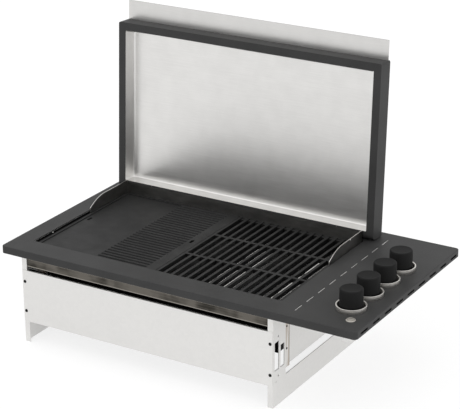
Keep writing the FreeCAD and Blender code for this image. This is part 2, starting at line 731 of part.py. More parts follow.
def rib_grooves(x0, x1, y0, y1):
    """Cuts across the plate that leave cast ribs between them."""
    count = int((y1 - y0) / RIB_PITCH)
    start = (y0 + y1 - (count - 1) * RIB_PITCH) / 2
    sole = PLATE_TOP - RIB_DEPTH
    grooves = []
    for index in range(count):
        y = start + index * RIB_PITCH
        foot = (RIB_PITCH - RIB_BASE) / 2
        mouth = (RIB_PITCH - RIB_CREST) / 2
        corners = [(-foot, sole), (foot, sole), (mouth, PLATE_TOP), (-mouth, PLATE_TOP)]
        face = outline([Vector(x0, y + across, z) for across, z in corners])
        grooves.append(face.extrude(X_AXIS * (x1 - x0)))
    return grooves


def finger_hole(x, y):
    low = LEDGE_Z - OVERCUT
    high = PLATE_TOP + OVERCUT
    half = FINGER_HOLE_WIDTH / 2
    reach = FINGER_HOLE_LENGTH / 2 - half
    ends = [rod(half, high - low, Vector(x, y + end, low), Z_AXIS) for end in (-reach, reach)]
    return box(x - half, x + half, y - reach, y + reach, low, high).multiFuse(ends)


# Grill: tapered cast bars along Y, joined by two cross-bars and the end bars
def make_grill():
    x0 = COOK_OFFSET + PLATE_GAP
    x1 = COOK_OFFSET + PLATE_HALF
    pitch = (x1 - x0 - GRILL_BAR_TOP) / GRILL_GAP_COUNT
    depth = PLATE_Y1 - PLATE_Y0
    bars = []
    for index in range(GRILL_GAP_COUNT + 1):
        x = x0 + GRILL_BAR_TOP / 2 + index * pitch
        bars.append(tapered_bar(Vector(x, PLATE_Y0, LEDGE_Z), X_AXIS, Y_AXIS * depth, GRILL_BAR_TOP))
    third = depth / 3
    for y in (PLATE_Y0 + third, PLATE_Y1 - third):
        bars.append(tapered_bar(Vector(x0, y, LEDGE_Z), Y_AXIS, X_AXIS * (x1 - x0), GRILL_CROSS_TOP))
    for y in (PLATE_Y0, PLATE_Y1 - GRILL_END):
        bars.append(box(x0, x1, y, y + GRILL_END, LEDGE_Z, LEDGE_Z + GRILL_SIDE_DEPTH))
    return fuse_all(bars)


def tapered_bar(base, across, along, top):
    """A bar of the plate's thickness, wider at its top than at its foot."""
    foot = top - GRILL_BAR_TOP + GRILL_BAR_FOOT
    up = Z_AXIS * PLATE_T
    corners = [
        base - across * (foot / 2),
        base + across * (foot / 2),
        base + up + across * (top / 2),
        base + up - across * (top / 2),
    ]
    return outline(corners).extrude(along)


# Burners: capped tubes with side ports, a front peg and a flared mouth behind the firebox
def make_burner(index):
    x = burner_x(index)
    length = BURNER_Y1 - BURNER_Y0
    tube = rod(BURNER_R, length, Vector(x, BURNER_Y0, BURNER_Z), Y_AXIS)
    mouth_y = BURNER_Y1 - MOUTH_LENGTH
    mouth = Part.makeCone(BURNER_R, MOUTH_R, MOUTH_LENGTH, Vector(x, mouth_y, BURNER_Z), Y_AXIS)
    peg_y = BOX_Y0 - FIREBOX_SHEET
    peg = rod(BURNER_PEG_R, BURNER_Y0 - peg_y, Vector(x, peg_y, BURNER_Z), Y_AXIS)
    bore = rod(BURNER_R - BURNER_WALL, length, Vector(x, BURNER_Y0 + BURNER_WALL, BURNER_Z), Y_AXIS)
    flare = Part.makeCone(
        BURNER_R - BURNER_WALL, MOUTH_R - BURNER_WALL, MOUTH_LENGTH, Vector(x, mouth_y, BURNER_Z), Y_AXIS
    )
    body = fuse_all([tube, mouth, peg]).cut(bore).cut(flare)
    span = BOX_Y1 - BURNER_Y0
    ports = []
    for port in range(PORT_COUNT):
        y = BURNER_Y0 + (port + 0.5) * span / PORT_COUNT
        ports.append(
            box(
                x - 2 * BURNER_R,
                x + 2 * BURNER_R,
                y - PORT_LENGTH / 2,
                y + PORT_LENGTH / 2,
                BURNER_Z - PORT_WIDTH / 2,
                BURNER_Z + PORT_WIDTH / 2,
            )
        )
    return cut_all(body, ports)


# Flame tamers: roof-shaped strips on the firebox's front and rear rails
def make_flame_tamer(index):
    x = burner_x(index)
    y = BOX_Y0 + TAMER_END_GAP
    z = TOP_HEIGHT - TAMER_RAIL_DROP
    half = TAMER_WIDTH / 2
    foot = half - TAMER_FOOT
    slope = math.hypot(foot, TAMER_RISE)
    lift = TAMER_SHEET * slope / foot
    fold = TAMER_SHEET * (slope - foot) / TAMER_RISE
    right = [
        (half, 0),
        (half, TAMER_SHEET),
        (foot + fold, TAMER_SHEET),
        (0, TAMER_RISE + lift),
    ]
    left = [(-across, up) for across, up in reversed(right[:-1])]
    under = [(-foot, 0), (0, TAMER_RISE), (foot, 0)]
    profile = [Vector(x + across, y, z + up) for across, up in right + left + under]
    return outline(profile).extrude(Y_AXIS * (BOX_Y1 - BOX_Y0 - 2 * TAMER_END_GAP))


def make_electrodes():
    rods = []
    for index in range(BURNER_COUNT):
        x = burner_x(index) + ELECTRODE_OFFSET
        back = BOX_Y1 + FIREBOX_SHEET
        hexagon = [
            Vector(
                x + ELECTRODE_HEX_R * math.cos(math.radians(60 * corner)),
                back,
                BURNER_Z + ELECTRODE_HEX_R * math.sin(math.radians(60 * corner)),
            )
            for corner in range(6)
        ]
        shoulder = outline(hexagon).extrude(Y_AXIS * ELECTRODE_HEX_T)
        ceramic = rod(ELECTRODE_R, ELECTRODE_REACH, Vector(x, back - ELECTRODE_REACH, BURNER_Z), Y_AXIS)
        wire_y = back - ELECTRODE_REACH - ELECTRODE_OFFSET / 2
        wire = rod(ELECTRODE_WIRE_R, ELECTRODE_OFFSET / 2, Vector(x, wire_y, BURNER_Z), Y_AXIS)
        rods.append(fuse_all([shoulder, ceramic, wire]))
    return Part.makeCompound(rods)


# Gas train: valves under the panel, a square manifold, feed pipes and injector holders
def make_valve_body(index):
    y = knob_y(index)
    half_plate = VALVE_PLATE / 2
    half = VALVE_BLOCK / 2
    block_top = TOP_HEIGHT - VALVE_BLOCK_TOP
    block_foot = TOP_HEIGHT - VALVE_BLOCK_FOOT
    plate = box(
        KNOB_X - half_plate,
        KNOB_X + half_plate,
        y - half_plate,
        y + half_plate,
        PANEL_UNDER - VALVE_PLATE_T,
        PANEL_UNDER,
    )
    neck = rod(VALVE_NECK_R, PANEL_UNDER - block_top, Vector(KNOB_X, y, block_top), Z_AXIS)
    block = box(KNOB_X - half, KNOB_X + half, y - half, y + half, block_foot, block_top)
    outlet = rod(VALVE_OUTLET_R, VALVE_OUTLET_LENGTH + half, Vector(KNOB_X, y, PIPE_Z), -X_AXIS)
    bore_foot = TOP_HEIGHT - STEM_DEPTH - VALVE_BORE_SPARE
    bore = rod(STEM_R + STEM_CLEARANCE, TOP_HEIGHT - bore_foot, Vector(KNOB_X, y, bore_foot), Z_AXIS)
    return fuse_all([plate, neck, block, outlet]).cut(bore)


def d_shaft(radius, x, y, z0, z1, flat):
    """A round shaft with one flat, on its +X side."""
    shaft = rod(radius, z1 - z0, Vector(x, y, z0), Z_AXIS)
    return shaft.cut(box(x + radius - flat, x + 2 * radius, y - 2 * radius, y + 2 * radius, z0, z1))


def make_valve_stem(index):
    y = knob_y(index)
    lower = rod(STEM_R, STEM_DEPTH, Vector(KNOB_X, y, TOP_HEIGHT - STEM_DEPTH), Z_AXIS)
    upper = d_shaft(STEM_R, KNOB_X, y, TOP_HEIGHT, TOP_HEIGHT + STEM_TOP, STEM_FLAT)
    return lower.fuse(upper).removeSplitter()


def make_knob(index):
    y = knob_y(index)
    foot = TOP_HEIGHT + KNOB_LIFT
    body = Part.makeCone(KNOB_R, KNOB_TOP_R, KNOB_HEIGHT, Vector(KNOB_X, y, foot), Z_AXIS)
    top = foot + KNOB_HEIGHT
    crown = [edge for edge in body.Edges if edge.BoundBox.ZMin > top - 1e-6]
    body = body.makeChamfer(KNOB_EDGE, crown)
    depth = KNOB_HEIGHT - 2 * KNOB_WALL
    hollow = Part.makeCone(KNOB_R - KNOB_WALL, KNOB_TOP_R - KNOB_WALL, depth, Vector(KNOB_X, y, foot), Z_AXIS)
    hub = rod(KNOB_HUB_R, depth, Vector(KNOB_X, y, foot), Z_AXIS)
    shell = body.cut(hollow).fuse(hub)
    bore_top = TOP_HEIGHT + STEM_TOP + KNOB_BORE_SPARE
    bore = d_shaft(STEM_R + STEM_CLEARANCE, KNOB_X, y, foot - OVERCUT, bore_top, STEM_FLAT)
    return shell.cut(bore).removeSplitter()


def make_bezels():
    """Cupped rings round the knobs: a straight wall that flares from its foot to a lip."""
    profile = [
        (BEZEL_FOOT_R - BEZEL_WALL, 0),
        (BEZEL_FOOT_R, 0),
        (BEZEL_LIP_R, BEZEL_HEIGHT - BEZEL_LIP),
        (BEZEL_LIP_R - BEZEL_LIP, BEZEL_HEIGHT),
        (BEZEL_LIP_R - BEZEL_WALL, BEZEL_HEIGHT),
    ]
    bezels = [revolved(profile, KNOB_X, knob_y(index), TOP_HEIGHT) for index in range(KNOB_COUNT)]
    return Part.makeCompound(bezels)


def make_manifold():
    half = MANIFOLD_SIDE / 2
    wall = MANIFOLD_WALL
    bore_half = half - wall
    high = TOP_HEIGHT - VALVE_BLOCK_FOOT
    low = high - MANIFOLD_SIDE
    y0 = knob_y(0) - MANIFOLD_FRONT
    y1 = TOP_DEPTH / 2 - MANIFOLD_END
    tube = box(KNOB_X - half, KNOB_X + half, y0, y1, low, high)
    hollow = box(KNOB_X - bore_half, KNOB_X + bore_half, y0 + wall, y1 - wall, low + wall, high - wall)
    centre = Vector(KNOB_X, y1, (low + high) / 2)
    nipple = rod(INLET_R, INLET_LENGTH, centre, Y_AXIS)
    bore = rod(INLET_BORE_R, INLET_LENGTH + 2 * wall, centre - Y_AXIS * (2 * wall), Y_AXIS)
    return tube.fuse(nipple).cut(hollow).cut(bore).removeSplitter()


def pipe_rear_y(index):
    """Line along X, behind the firebox, of one feed pipe."""
    return INJECTOR_Y + INJECTOR_DEPTH + PIPE_BEHIND + PIPE_BEND + index * PIPE_PITCH


def make_feed_pipe(index):
    """Valve to burner, in one level plane: the first valve feeds the burner furthest right."""
    start_x = KNOB_X - VALVE_BLOCK / 2 - VALVE_OUTLET_LENGTH
    side_x = start_x - PIPE_LEAD - (BURNER_COUNT - 1 - index) * PIPE_PITCH
    end_x = burner_x(BURNER_COUNT - 1 - index)
    rear_y = pipe_rear_y(index)
    route = [
        Vector(start_x, knob_y(index), PIPE_Z),
        Vector(side_x, knob_y(index), PIPE_Z),
        Vector(side_x, rear_y, PIPE_Z),
        Vector(end_x, rear_y, PIPE_Z),
        Vector(end_x, INJECTOR_Y + INJECTOR_DEPTH, PIPE_Z),
    ]
    path = bent_path(route, PIPE_BEND)
    sections = []
    for radius in (PIPE_R, PIPE_BORE_R):
        circle = Part.Wire(Part.makeCircle(radius, route[0], X_AXIS))
        sections.append(path.makePipeShell([circle], True, False, 1))
    return sections[0].cut(sections[1])


def bent_path(route, bend):
    """Straight runs, with a slanted length across each corner."""
    points = [route[0]]
    for before, corner, after in zip(route, route[1:], route[2:]):
        points.append(corner - (corner - before).normalize() * bend)
        points.append(corner + (after - corner).normalize() * bend)
    return Part.makePolygon(points + [route[-1]])


def make_injectors():
    """Holders that hang from the firebox ledge, with a jet that reaches into each burner's mouth."""
    holders = []
    half = INJECTOR_WIDTH / 2
    for index in range(BURNER_COUNT):
        x = burner_x(index)
        foot = BURNER_Z - INJECTOR_FOOT
        y1 = INJECTOR_Y + INJECTOR_DEPTH
        holder = box(x - half, x + half, INJECTOR_Y, y1, foot, LEDGE_Z - FIREBOX_SHEET)
        middle = Vector(x, (INJECTOR_Y + y1) / 2, BURNER_Z)
        jet = rod(JET_R, JET_REACH + INJECTOR_DEPTH / 2, middle, -Y_AXIS)
        holders.append(holder.fuse(jet).removeSplitter())
    return Part.makeCompound(holders)


# Igniter: a collared barrel through the panel, its nut, and the push button
def make_igniter_barrel():
    collar = rod(IGNITER_COLLAR_R, IGNITER_COLLAR_T, Vector(IGNITER_X, IGNITER_Y, TOP_HEIGHT), Z_AXIS)
    rim = [edge for edge in collar.Edges if edge.BoundBox.ZMin > TOP_HEIGHT + IGNITER_COLLAR_T - 1e-6]
    collar = collar.makeChamfer(IGNITER_COLLAR_T / 2, rim)
    low = TOP_HEIGHT - IGNITER_BODY_LENGTH
    body = rod(IGNITER_BODY_R, IGNITER_BODY_LENGTH, Vector(IGNITER_X, IGNITER_Y, low), Z_AXIS)
    depth = IGNITER_BODY_LENGTH / 2
    bore_r = IGNITER_BUTTON_R + IGNITER_CLEARANCE
    bore = rod(bore_r, depth + OVERCUT, Vector(IGNITER_X, IGNITER_Y, TOP_HEIGHT - depth), Z_AXIS)
    return collar.fuse(body).cut(bore).removeSplitter()


def make_igniter_nut():
    centre = Vector(IGNITER_X, IGNITER_Y, PANEL_UNDER - IGNITER_NUT_T)
    corners = []
    for corner in range(6):
        angle = math.radians(60 * corner)
        corners.append(centre + Vector(math.cos(angle), math.sin(angle), 0) * IGNITER_NUT_R)
    hole = rod(IGNITER_BODY_R + IGNITER_CLEARANCE, IGNITER_NUT_T, centre, Z_AXIS)
    return outline(corners).extrude(Z_AXIS * IGNITER_NUT_T).cut(hole)


def make_igniter_button():
    top = TOP_HEIGHT + IGNITER_COLLAR_T + IGNITER_BUTTON_RISE
    foot = TOP_HEIGHT - IGNITER_BODY_LENGTH / 2 + IGNITER_TRAVEL + 2 * WALL_GAP
    button = rod(IGNITER_BUTTON_R, top - foot, Vector(IGNITER_X, IGNITER_Y, foot), Z_AXIS)
    crown = [edge for edge in button.Edges if edge.BoundBox.ZMin > top - 1e-6]
    return button.makeChamfer(IGNITER_BUTTON_EDGE, crown)


# Lid pieces, built shut and then swung open about the hinge
def lid_box(half, near, far, low, high):
    """A box in the shut lid: near and far from its rear wall, low and high above its rim."""
    return box(
        COOK_OFFSET - half,
        COOK_OFFSET + half,
        LID_REAR_Y - far,
        LID_REAR_Y - near,
        LID_RIM_Z + low,
        LID_RIM_Z + high,
    )


def opened(shape):
    return shape.rotated(Vector(0, HINGE_Y, HINGE_Z), X_AXIS, -LID_OPEN_ANGLE)


def heel_edges(shape, y, z):
    """The long edge along X at the lower rear corner."""
    found = []
    for edge in shape.Edges:
        limits = edge.BoundBox
        if abs(limits.YMin - y) < 1e-6 and abs(limits.YMax - y) < 1e-6 and abs(limits.ZMax - z) < 1e-6:
            found.append(edge)
    return found


def lid_form(inset, heel_r):
    """The lid's outer form, drawn in by a sheet's thickness for its hollow."""
    half = LID_WIDTH / 2 - inset
    form = lid_box(half, inset, LID_LENGTH - inset, inset, LID_DEPTH - inset)
    form = form.makeFillet(heel_r, heel_edges(form, LID_REAR_Y - inset, LID_RIM_Z + inset))
    front = LID_REAR_Y - LID_LENGTH + inset
    far = [e for e in upright_edges(form) if abs(e.BoundBox.YMin - front) < 1e-6]
    return form.makeFillet(LID_CORNER_R - inset, far)


def make_lid_shell():
    shell = lid_form(0, LID_HEEL_R).cut(lid_form(LID_SHEET, LID_HEEL_R - LID_SHEET))
    mouth_half = LID_WIDTH / 2 - LID_RIM
    mouth = lid_box(mouth_half, LID_RIM, LID_LENGTH - LID_RIM, -OVERCUT, 2 * LID_SHEET)
    gap = HANDLE_SLOT_GAP
    slot_low = LINER_DEPTH + LINER_SHEET - gap
    slot_high = LINER_DEPTH + LINER_SHEET + HANDLE_SHEET + gap
    slot_half = LID_WIDTH / 2 - HANDLE_INSET + gap
    slot = lid_box(slot_half, LID_LENGTH - 2 * LID_SHEET, LID_LENGTH + OVERCUT, slot_low, slot_high)
    cuts = [mouth, slot]
    reach = EAR_SHEET / 2 + EAR_SLOT_GAP
    width = EAR_HALF_WIDTH + EAR_SLOT_GAP
    for side in (-1, 1):
        x = side * HINGE_SPREAD
        notch = lid_box(reach, -OVERCUT, LID_HEEL_R + width, -OVERCUT, HINGE_UP + width)
        cuts.append(notch.translated(Vector(x, 0, 0)))
    return opened(cut_all(shell, cuts))


def make_lid_liner():
    half = LID_WIDTH / 2 - LID_RIM
    near = LID_RIM
    far = LID_LENGTH - LID_RIM
    wall = LINER_SHEET
    low = LID_SHEET
    flange = lid_box(half + LINER_FLANGE, near - LINER_FLANGE / 2, far + LINER_FLANGE, low, low + wall)
    pan = lid_box(half + wall, near - wall, far + wall, low, LINER_DEPTH + wall)
    pan = pan.makeFillet(LINER_CORNER_R + wall, upright_edges(pan))
    hollow = lid_box(half, near, far, low - OVERCUT, LINER_DEPTH)
    hollow = hollow.makeFillet(LINER_CORNER_R, upright_edges(hollow))
    notches = []
    for side in (-1, 1):
        x = side * HINGE_SPREAD
        notch = lid_box(PIN_HALF_LENGTH + CHEEK_GAP, -OVERCUT, near - wall - WALL_GAP, 0, LID_DEPTH)
        notches.append(notch.translated(Vector(x, 0, 0)))
    return opened(cut_all(flange.fuse(pan).cut(hollow), notches).removeSplitter())


def make_lid_handle():
    half = LID_WIDTH / 2 - HANDLE_INSET
    low = LINER_DEPTH + LINER_SHEET
    plate = lid_box(half, LID_LENGTH - HANDLE_GRIP, LID_LENGTH + HANDLE_REACH, low, low + HANDLE_SHEET)
    return opened(plate)


# Hinges: fixed ears through the panel, pins, and the lid's U brackets
def make_right_ear():
    x = COOK_OFFSET + HINGE_SPREAD
    half = EAR_SHEET / 2
    foot = PANEL_UNDER - EAR_SHEET
    front = HINGE_Y - EAR_HALF_WIDTH
    base = box(x - half, x + EAR_BASE_WIDTH, front, front + EAR_BASE_DEPTH, foot, PANEL_UNDER)
    shank = box(x - half, x + half, HINGE_Y - EAR_HALF_WIDTH, HINGE_Y + EAR_HALF_WIDTH, foot, HINGE_Z)
    head = rod(EAR_HALF_WIDTH, EAR_SHEET, Vector(x - half, HINGE_Y, HINGE_Z), X_AXIS)
    reach = half + OVERCUT
    bore = rod(PIN_R + PIN_CLEARANCE, 2 * reach, Vector(x - reach, HINGE_Y, HINGE_Z), X_AXIS)
    return fuse_all([base, shank, head]).cut(bore)


def make_hinge_pins():
    pins = []
    for side in (-1, 1):
        base = Vector(COOK_OFFSET + side * HINGE_SPREAD - PIN_HALF_LENGTH, HINGE_Y, HINGE_Z)
        pins.append(rod(PIN_R, 2 * PIN_HALF_LENGTH, base, X_AXIS))
    return Part.makeCompound(pins)


def make_hinge_cradles():
    cradles = []
    near = EAR_SHEET / 2 + CHEEK_GAP
    far = near + CHEEK_SHEET
    rear = LID_SHEET
    web = rear + CRADLE_WEB
    foot = HINGE_UP - EAR_HALF_WIDTH
    clear = HINGE_UP + EAR_HALF_WIDTH + 2 * EAR_SLOT_GAP
    tip = LID_HEEL_R + EAR_HALF_WIDTH
    corners = [
        (rear, HINGE_UP),
        (LID_HEEL_R - EAR_HALF_WIDTH, foot),
        (tip, foot),
        (tip, clear),
        (web, CRADLE_TOP),
        (rear, CRADLE_TOP),
    ]
    for side in (-1, 1):
        x = COOK_OFFSET + side * HINGE_SPREAD
        pieces = [lid_box(far, rear, web, clear, CRADLE_TOP).translated(Vector(x - COOK_OFFSET, 0, 0))]
        for start in (x - far, x + near):
            points = [Vector(start, LID_REAR_Y - back, LID_RIM_Z + up) for back, up in corners]
            pieces.append(outline(points).extrude(X_AXIS * CHEEK_SHEET))
        bore = rod(PIN_R, 2 * far, Vector(x - far, HINGE_Y, HINGE_Z), X_AXIS)
        cradles.append(opened(fuse_all(pieces).cut(bore)))
    return Part.makeCompound(cradles)


os.makedirs("parts", exist_ok=True)

right_frame = make_right_frame()
front_rail = make_front_rail()
front_panel = make_front_panel()
right_shield = make_right_shield()
right_guard = make_right_guard()
right_ear = make_right_ear()
firebox_right = make_firebox_right()

save("top_panel", make_top_panel())
save("right_end_frame", right_frame.cut(pipe_cut()))
save("left_end_frame", mirrored(right_frame))
save("front_rail", front_rail)
save("rear_rail", turned_back(front_rail))
save("front_panel", front_panel)
save("rear_panel", turned_back(front_panel))
save("panel_screws", make_panel_screws())
save("plate_frame", make_plate_frame())
save("firebox_front", make_firebox_front())
save("firebox_rear", make_firebox_rear())
save("firebox_right", firebox_right)
save("firebox_left", mirrored(firebox_right))
save("tray_carrier", make_tray_carrier())
save("drip_tray", make_drip_tray())
save("right_heat_shield", right_shield)
save("left_heat_shield", mirrored(right_shield))
save("right_side_guard", right_guard)
save("left_side_guard", mirrored(right_guard))
save("rear_guard", make_rear_guard())
save("hotplate", make_hotplate())
save("grill", make_grill())
save("spark_electrodes", make_electrodes())
save("manifold", make_manifold())
save("knob_bezels", make_bezels())
save("injectors", make_injectors())
save("igniter_barrel", make_igniter_barrel())
save("igniter_nut", make_igniter_nut())
save("igniter_button", make_igniter_button())
save("lid_shell", make_lid_shell())
save("lid_liner", make_lid_liner())
save("lid_handle", make_lid_handle())
save("right_hinge_bracket", right_ear)
save("left_hinge_bracket", mirrored(right_ear))
save("hinge_pins", make_hinge_pins())
save("hinge_cradles", make_hinge_cradles())
for burner in range(BURNER_COUNT):
    number = str(burner + 1)
    save("burner_" + number, make_burner(burner))
    save("flame_tamer_" + number, make_flame_tamer(burner))
    save("feed_pipe_" + number, make_feed_pipe(burner))
for knob in range(KNOB_COUNT):
    number = str(knob + 1)
    save("valve_body_" + number, make_valve_body(knob))
    save("valve_stem_" + number, make_valve_stem(knob))
    save("knob_" + number, make_knob(knob))
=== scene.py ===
# %% [markdown]
# # A built-in gas grill
# The grill drops into a bench: a coated top panel, a cooking box with cast plates and a hinged lid.
# The frame already holds every piece at its real size and place, in metres, with +Z up and the front
# towards -Y. This lesson gives each piece its finish, remodels the turned parts, the screws and the lid's
# inner pan as smooth meshes, and sets up a plain studio.

# %% Load the frame
import json
import math

import bmesh
import bpy
from mathutils import Matrix, Vector


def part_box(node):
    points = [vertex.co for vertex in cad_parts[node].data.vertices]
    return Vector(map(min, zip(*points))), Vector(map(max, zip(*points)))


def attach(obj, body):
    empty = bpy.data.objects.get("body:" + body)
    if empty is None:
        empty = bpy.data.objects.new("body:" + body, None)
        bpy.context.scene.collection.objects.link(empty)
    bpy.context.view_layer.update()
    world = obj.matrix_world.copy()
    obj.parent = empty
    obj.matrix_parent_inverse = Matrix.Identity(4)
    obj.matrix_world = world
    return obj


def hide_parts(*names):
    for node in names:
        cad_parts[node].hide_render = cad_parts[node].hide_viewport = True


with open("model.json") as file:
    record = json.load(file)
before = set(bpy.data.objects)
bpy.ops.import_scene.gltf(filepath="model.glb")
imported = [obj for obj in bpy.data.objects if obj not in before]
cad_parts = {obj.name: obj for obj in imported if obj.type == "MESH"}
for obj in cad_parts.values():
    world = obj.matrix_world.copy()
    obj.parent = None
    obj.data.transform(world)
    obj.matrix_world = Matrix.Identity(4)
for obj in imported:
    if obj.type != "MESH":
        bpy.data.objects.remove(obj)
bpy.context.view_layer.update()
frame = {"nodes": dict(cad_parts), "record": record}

MM = 0.001
NODES = frame["nodes"]

# %% [markdown]
# ## Small helpers
# Colours are picked as sRGB hex values, the way a paint chart gives them, while shaders work in linear
# light, so one function converts them.

# %% Colours
def linear(hex_colour):
    """An sRGB hex colour as linear RGBA."""
    channels = []
    for start in (1, 3, 5):
        value = int(hex_colour[start:start + 2], 16) / 255
        channels.append(value / 12.92 if value <= 0.04045 else ((value + 0.055) / 1.055) ** 2.4)
    return (*channels, 1.0)


print("a middle grey is", round(linear("#808080")[0], 3), "in linear light")

# %% [markdown]
# Node trees are easier to read when one call adds a node, sets it and links it. One function does that for
# every kind of node, and gives back the output that the next node needs.

# %% Nodes
# The Mix node repeats its socket names for each kind of value, so its colour sockets are found by number.
FACTOR, FIRST, SECOND = 0, 6, 7
COLOURS = {"out": 2, "data_type": "RGBA"}


def wire(tree, node, inputs):
    """Give a node its inputs: each is a plain value or another node's output."""
    for name, value in inputs.items():
        if isinstance(value, bpy.types.NodeSocket):
            tree.links.new(value, node.inputs[name])
        else:
            node.inputs[name].default_value = value


def add(tree, kind, inputs=None, out=0, **settings):
    """Add a node with its settings and inputs, and return one of its outputs."""
    made = tree.nodes.new("ShaderNode" + kind)
    for name, value in settings.items():
        setattr(made, name, value)
    wire(tree, made, inputs or {})
    return made.outputs[out]


def new_material(name):
    """A material, its node tree, its main shader and its Object coordinates."""
    material = bpy.data.materials.new(name)
    material.use_nodes = True
    tree = material.node_tree
    return material, tree, tree.nodes["Principled BSDF"], add(tree, "TexCoord", out="Object")


print("colours are mixed as", COLOURS["data_type"])

# %% [markdown]
# Patterns are given by the real size of their features in millimetres. Object coordinates are in metres, so
# a texture's scale is one over that size. A pattern that is longer one way than another gets its
# coordinates stretched instead, with a size for each axis.

# %% Pattern sizes
def per_mm(size):
    """The texture scale that gives features of about this many millimetres."""
    return 1 / (size * MM)


def spread(x, y, z):
    """The mapping scale that stretches a pattern of scale 1 to features of these millimetres."""
    return (per_mm(x), per_mm(y), per_mm(z))


# Noise gathers round a half, so these spans hold most of one noise and most of two added together.
NOISE_SPAN = {"From Min": 0.3, "From Max": 0.7}
SUM_SPAN = {"From Min": 0.7, "From Max": 1.3}
print("features of 2 mm need a scale of", per_mm(2))

# %% [markdown]
# ## Charcoal powder coat
# The top panel and the lid are steel sheet with a baked powder coat. Powder melts into a fine orange peel,
# which breaks up the gloss. The grain is drawn a little coarser than life, so that it shows.
# The walls of the panel's vent slits are painted pale, as painted light, so that they show as pale dashes.
# They lie on one line across the panel, and only their upright walls are pale, so a place and a normal
# find them.

# %% Powder coat
# The slit walls' pale colour is painted light, which makes them show as pale dashes.
COAT_DARK, COAT_LIGHT, SLIT_WALL_LIGHT = "#333333", "#3d3d3d", "#cfcecc"
PEEL_GRAIN, PEEL_HEIGHT, COAT_CLOUD = 2.4, 0.4 * MM, 90
COAT_ROUGH = {"To Min": 0.5, "To Max": 0.62}
VENT_LINE, VENT_REACH, VENT_SPAN = 0.323, 1.5 * MM, 0.25
# A face is turned away from an axis when its normal has less of that axis than this.
TURNED_AWAY = 0.5


def with_painted_slit_light(tree, place, colour):
    """The colour, with painted light on the walls of the vent slits: pale dashes."""
    x = add(tree, "SeparateXYZ", {0: place}, out="X")
    y = add(tree, "SeparateXYZ", {0: place}, out="Y")
    upward = add(tree, "SeparateXYZ", {0: add(tree, "NewGeometry", out="Normal")}, out="Z")
    on_line = add(tree, "Math", {0: x, 1: VENT_LINE, 2: VENT_REACH}, operation="COMPARE")
    in_span = add(tree, "Math", {0: y, 1: 0.0, 2: VENT_SPAN}, operation="COMPARE")
    on_wall = add(tree, "Math", {0: upward, 1: 0.0, 2: TURNED_AWAY}, operation="COMPARE")
    slit = add(tree, "Math", {0: on_line, 1: in_span}, operation="MULTIPLY")
    # The slit walls get painted light.
    pale_wall = add(tree, "Math", {0: slit, 1: on_wall}, operation="MULTIPLY")
    return add(tree, "Mix", {FACTOR: pale_wall, FIRST: colour, SECOND: linear(SLIT_WALL_LIGHT)}, **COLOURS)


def powder_coat(name, wear_and_painted_light=None):
    """Matt charcoal: soft broad sheen with a fine, uneven skin."""
    material, tree, shader, place = new_material(name)
    peel = add(tree, "TexNoise", {"Vector": place, "Scale": per_mm(PEEL_GRAIN), "Detail": 4.0})
    cloud = add(tree, "TexNoise", {"Vector": place, "Scale": per_mm(COAT_CLOUD)})
    tone = add(tree, "Math", {0: peel, 1: cloud}, operation="ADD")
    share = add(tree, "MapRange", {"Value": tone, **SUM_SPAN})
    shades = {FACTOR: share, FIRST: linear(COAT_DARK), SECOND: linear(COAT_LIGHT)}
    colour = add(tree, "Mix", shades, **COLOURS)
    if wear_and_painted_light:
        colour = wear_and_painted_light(tree, place, colour)
    rough = add(tree, "MapRange", {"Value": peel, **NOISE_SPAN, **COAT_ROUGH})
    skin = add(tree, "Bump", {"Height": peel, "Strength": 0.12, "Distance": PEEL_HEIGHT})
    wire(tree, shader, {"Base Color": colour, "Roughness": rough, "Normal": skin})
    wire(tree, shader, {"Specular IOR Level": 0.24})
    return material


coat = powder_coat("charcoal_powder_coat")
punched_coat = powder_coat("punched_powder_coat", with_painted_slit_light)
print(coat.name, punched_coat.name)

# %% [markdown]
# ## Galvanised sheet
# The frames and the panels between them are bare zinc-coated steel, rolled smooth. Zinc freezes in flat
# crystals; after rolling they show only as a faint patchwork of greys under a soft, bright sheen. Cells of a
# Voronoi pattern stand for the crystals. Some sheets get painted shade and painted reflections, each in its
# own way, so the sheet takes a function that adds them to its clean colour.

# %% Galvanised sheet
ZINC_DARK, ZINC_LIGHT = "#e4e3e1", "#e8e7e5"
SPANGLE_SIZE, ZINC_CLOUD = 9, 60
ZINC_SPAN = {"From Min": 0.3, "From Max": 1.6}
ZINC_ROUGH = {"To Min": 0.46, "To Max": 0.52}


def galvanised_sheet(name, wear_and_painted_light=None):
    """Pale, almost even grey with a soft bright sheen and faint crystals."""
    material, tree, shader, place = new_material(name)
    spangle = add(tree, "TexVoronoi", {"Vector": place, "Scale": per_mm(SPANGLE_SIZE)}, out="Color")
    crystal = add(tree, "SeparateColor", {"Color": spangle})
    cloud = add(tree, "TexNoise", {"Vector": place, "Scale": per_mm(ZINC_CLOUD), "Detail": 3.0})
    tone = add(tree, "Math", {0: crystal, 1: cloud}, operation="ADD")
    share = add(tree, "MapRange", {"Value": tone, **ZINC_SPAN})
    shades = {FACTOR: share, FIRST: linear(ZINC_DARK), SECOND: linear(ZINC_LIGHT)}
    colour = add(tree, "Mix", shades, **COLOURS)
    if wear_and_painted_light:
        colour = wear_and_painted_light(tree, place, colour)
    rough = add(tree, "MapRange", {"Value": crystal, **ZINC_ROUGH})
    wire(tree, shader, {"Base Color": colour, "Roughness": rough, "Metallic": 0.75})
    return material


zinc = galvanised_sheet("galvanised_sheet")
print(zinc.name)

# %% [markdown]
# The front and rear panels have a folded ledge at the top. Its inner part gets near-black painted shade. A
# second sheet piece could carry the dark colour, but a height and a distance from the middle already find
# the ledge, so the material does it.

# %% Painted shade on the panels' ledges
# Near-black painted shade for the inner part of the ledges.
LEDGE_SHADE = "#1c1b19"
LEDGE_HEIGHT, LEDGE_REACH, LEDGE_SHADE_EDGE = 0.198, 2 * MM, 0.257


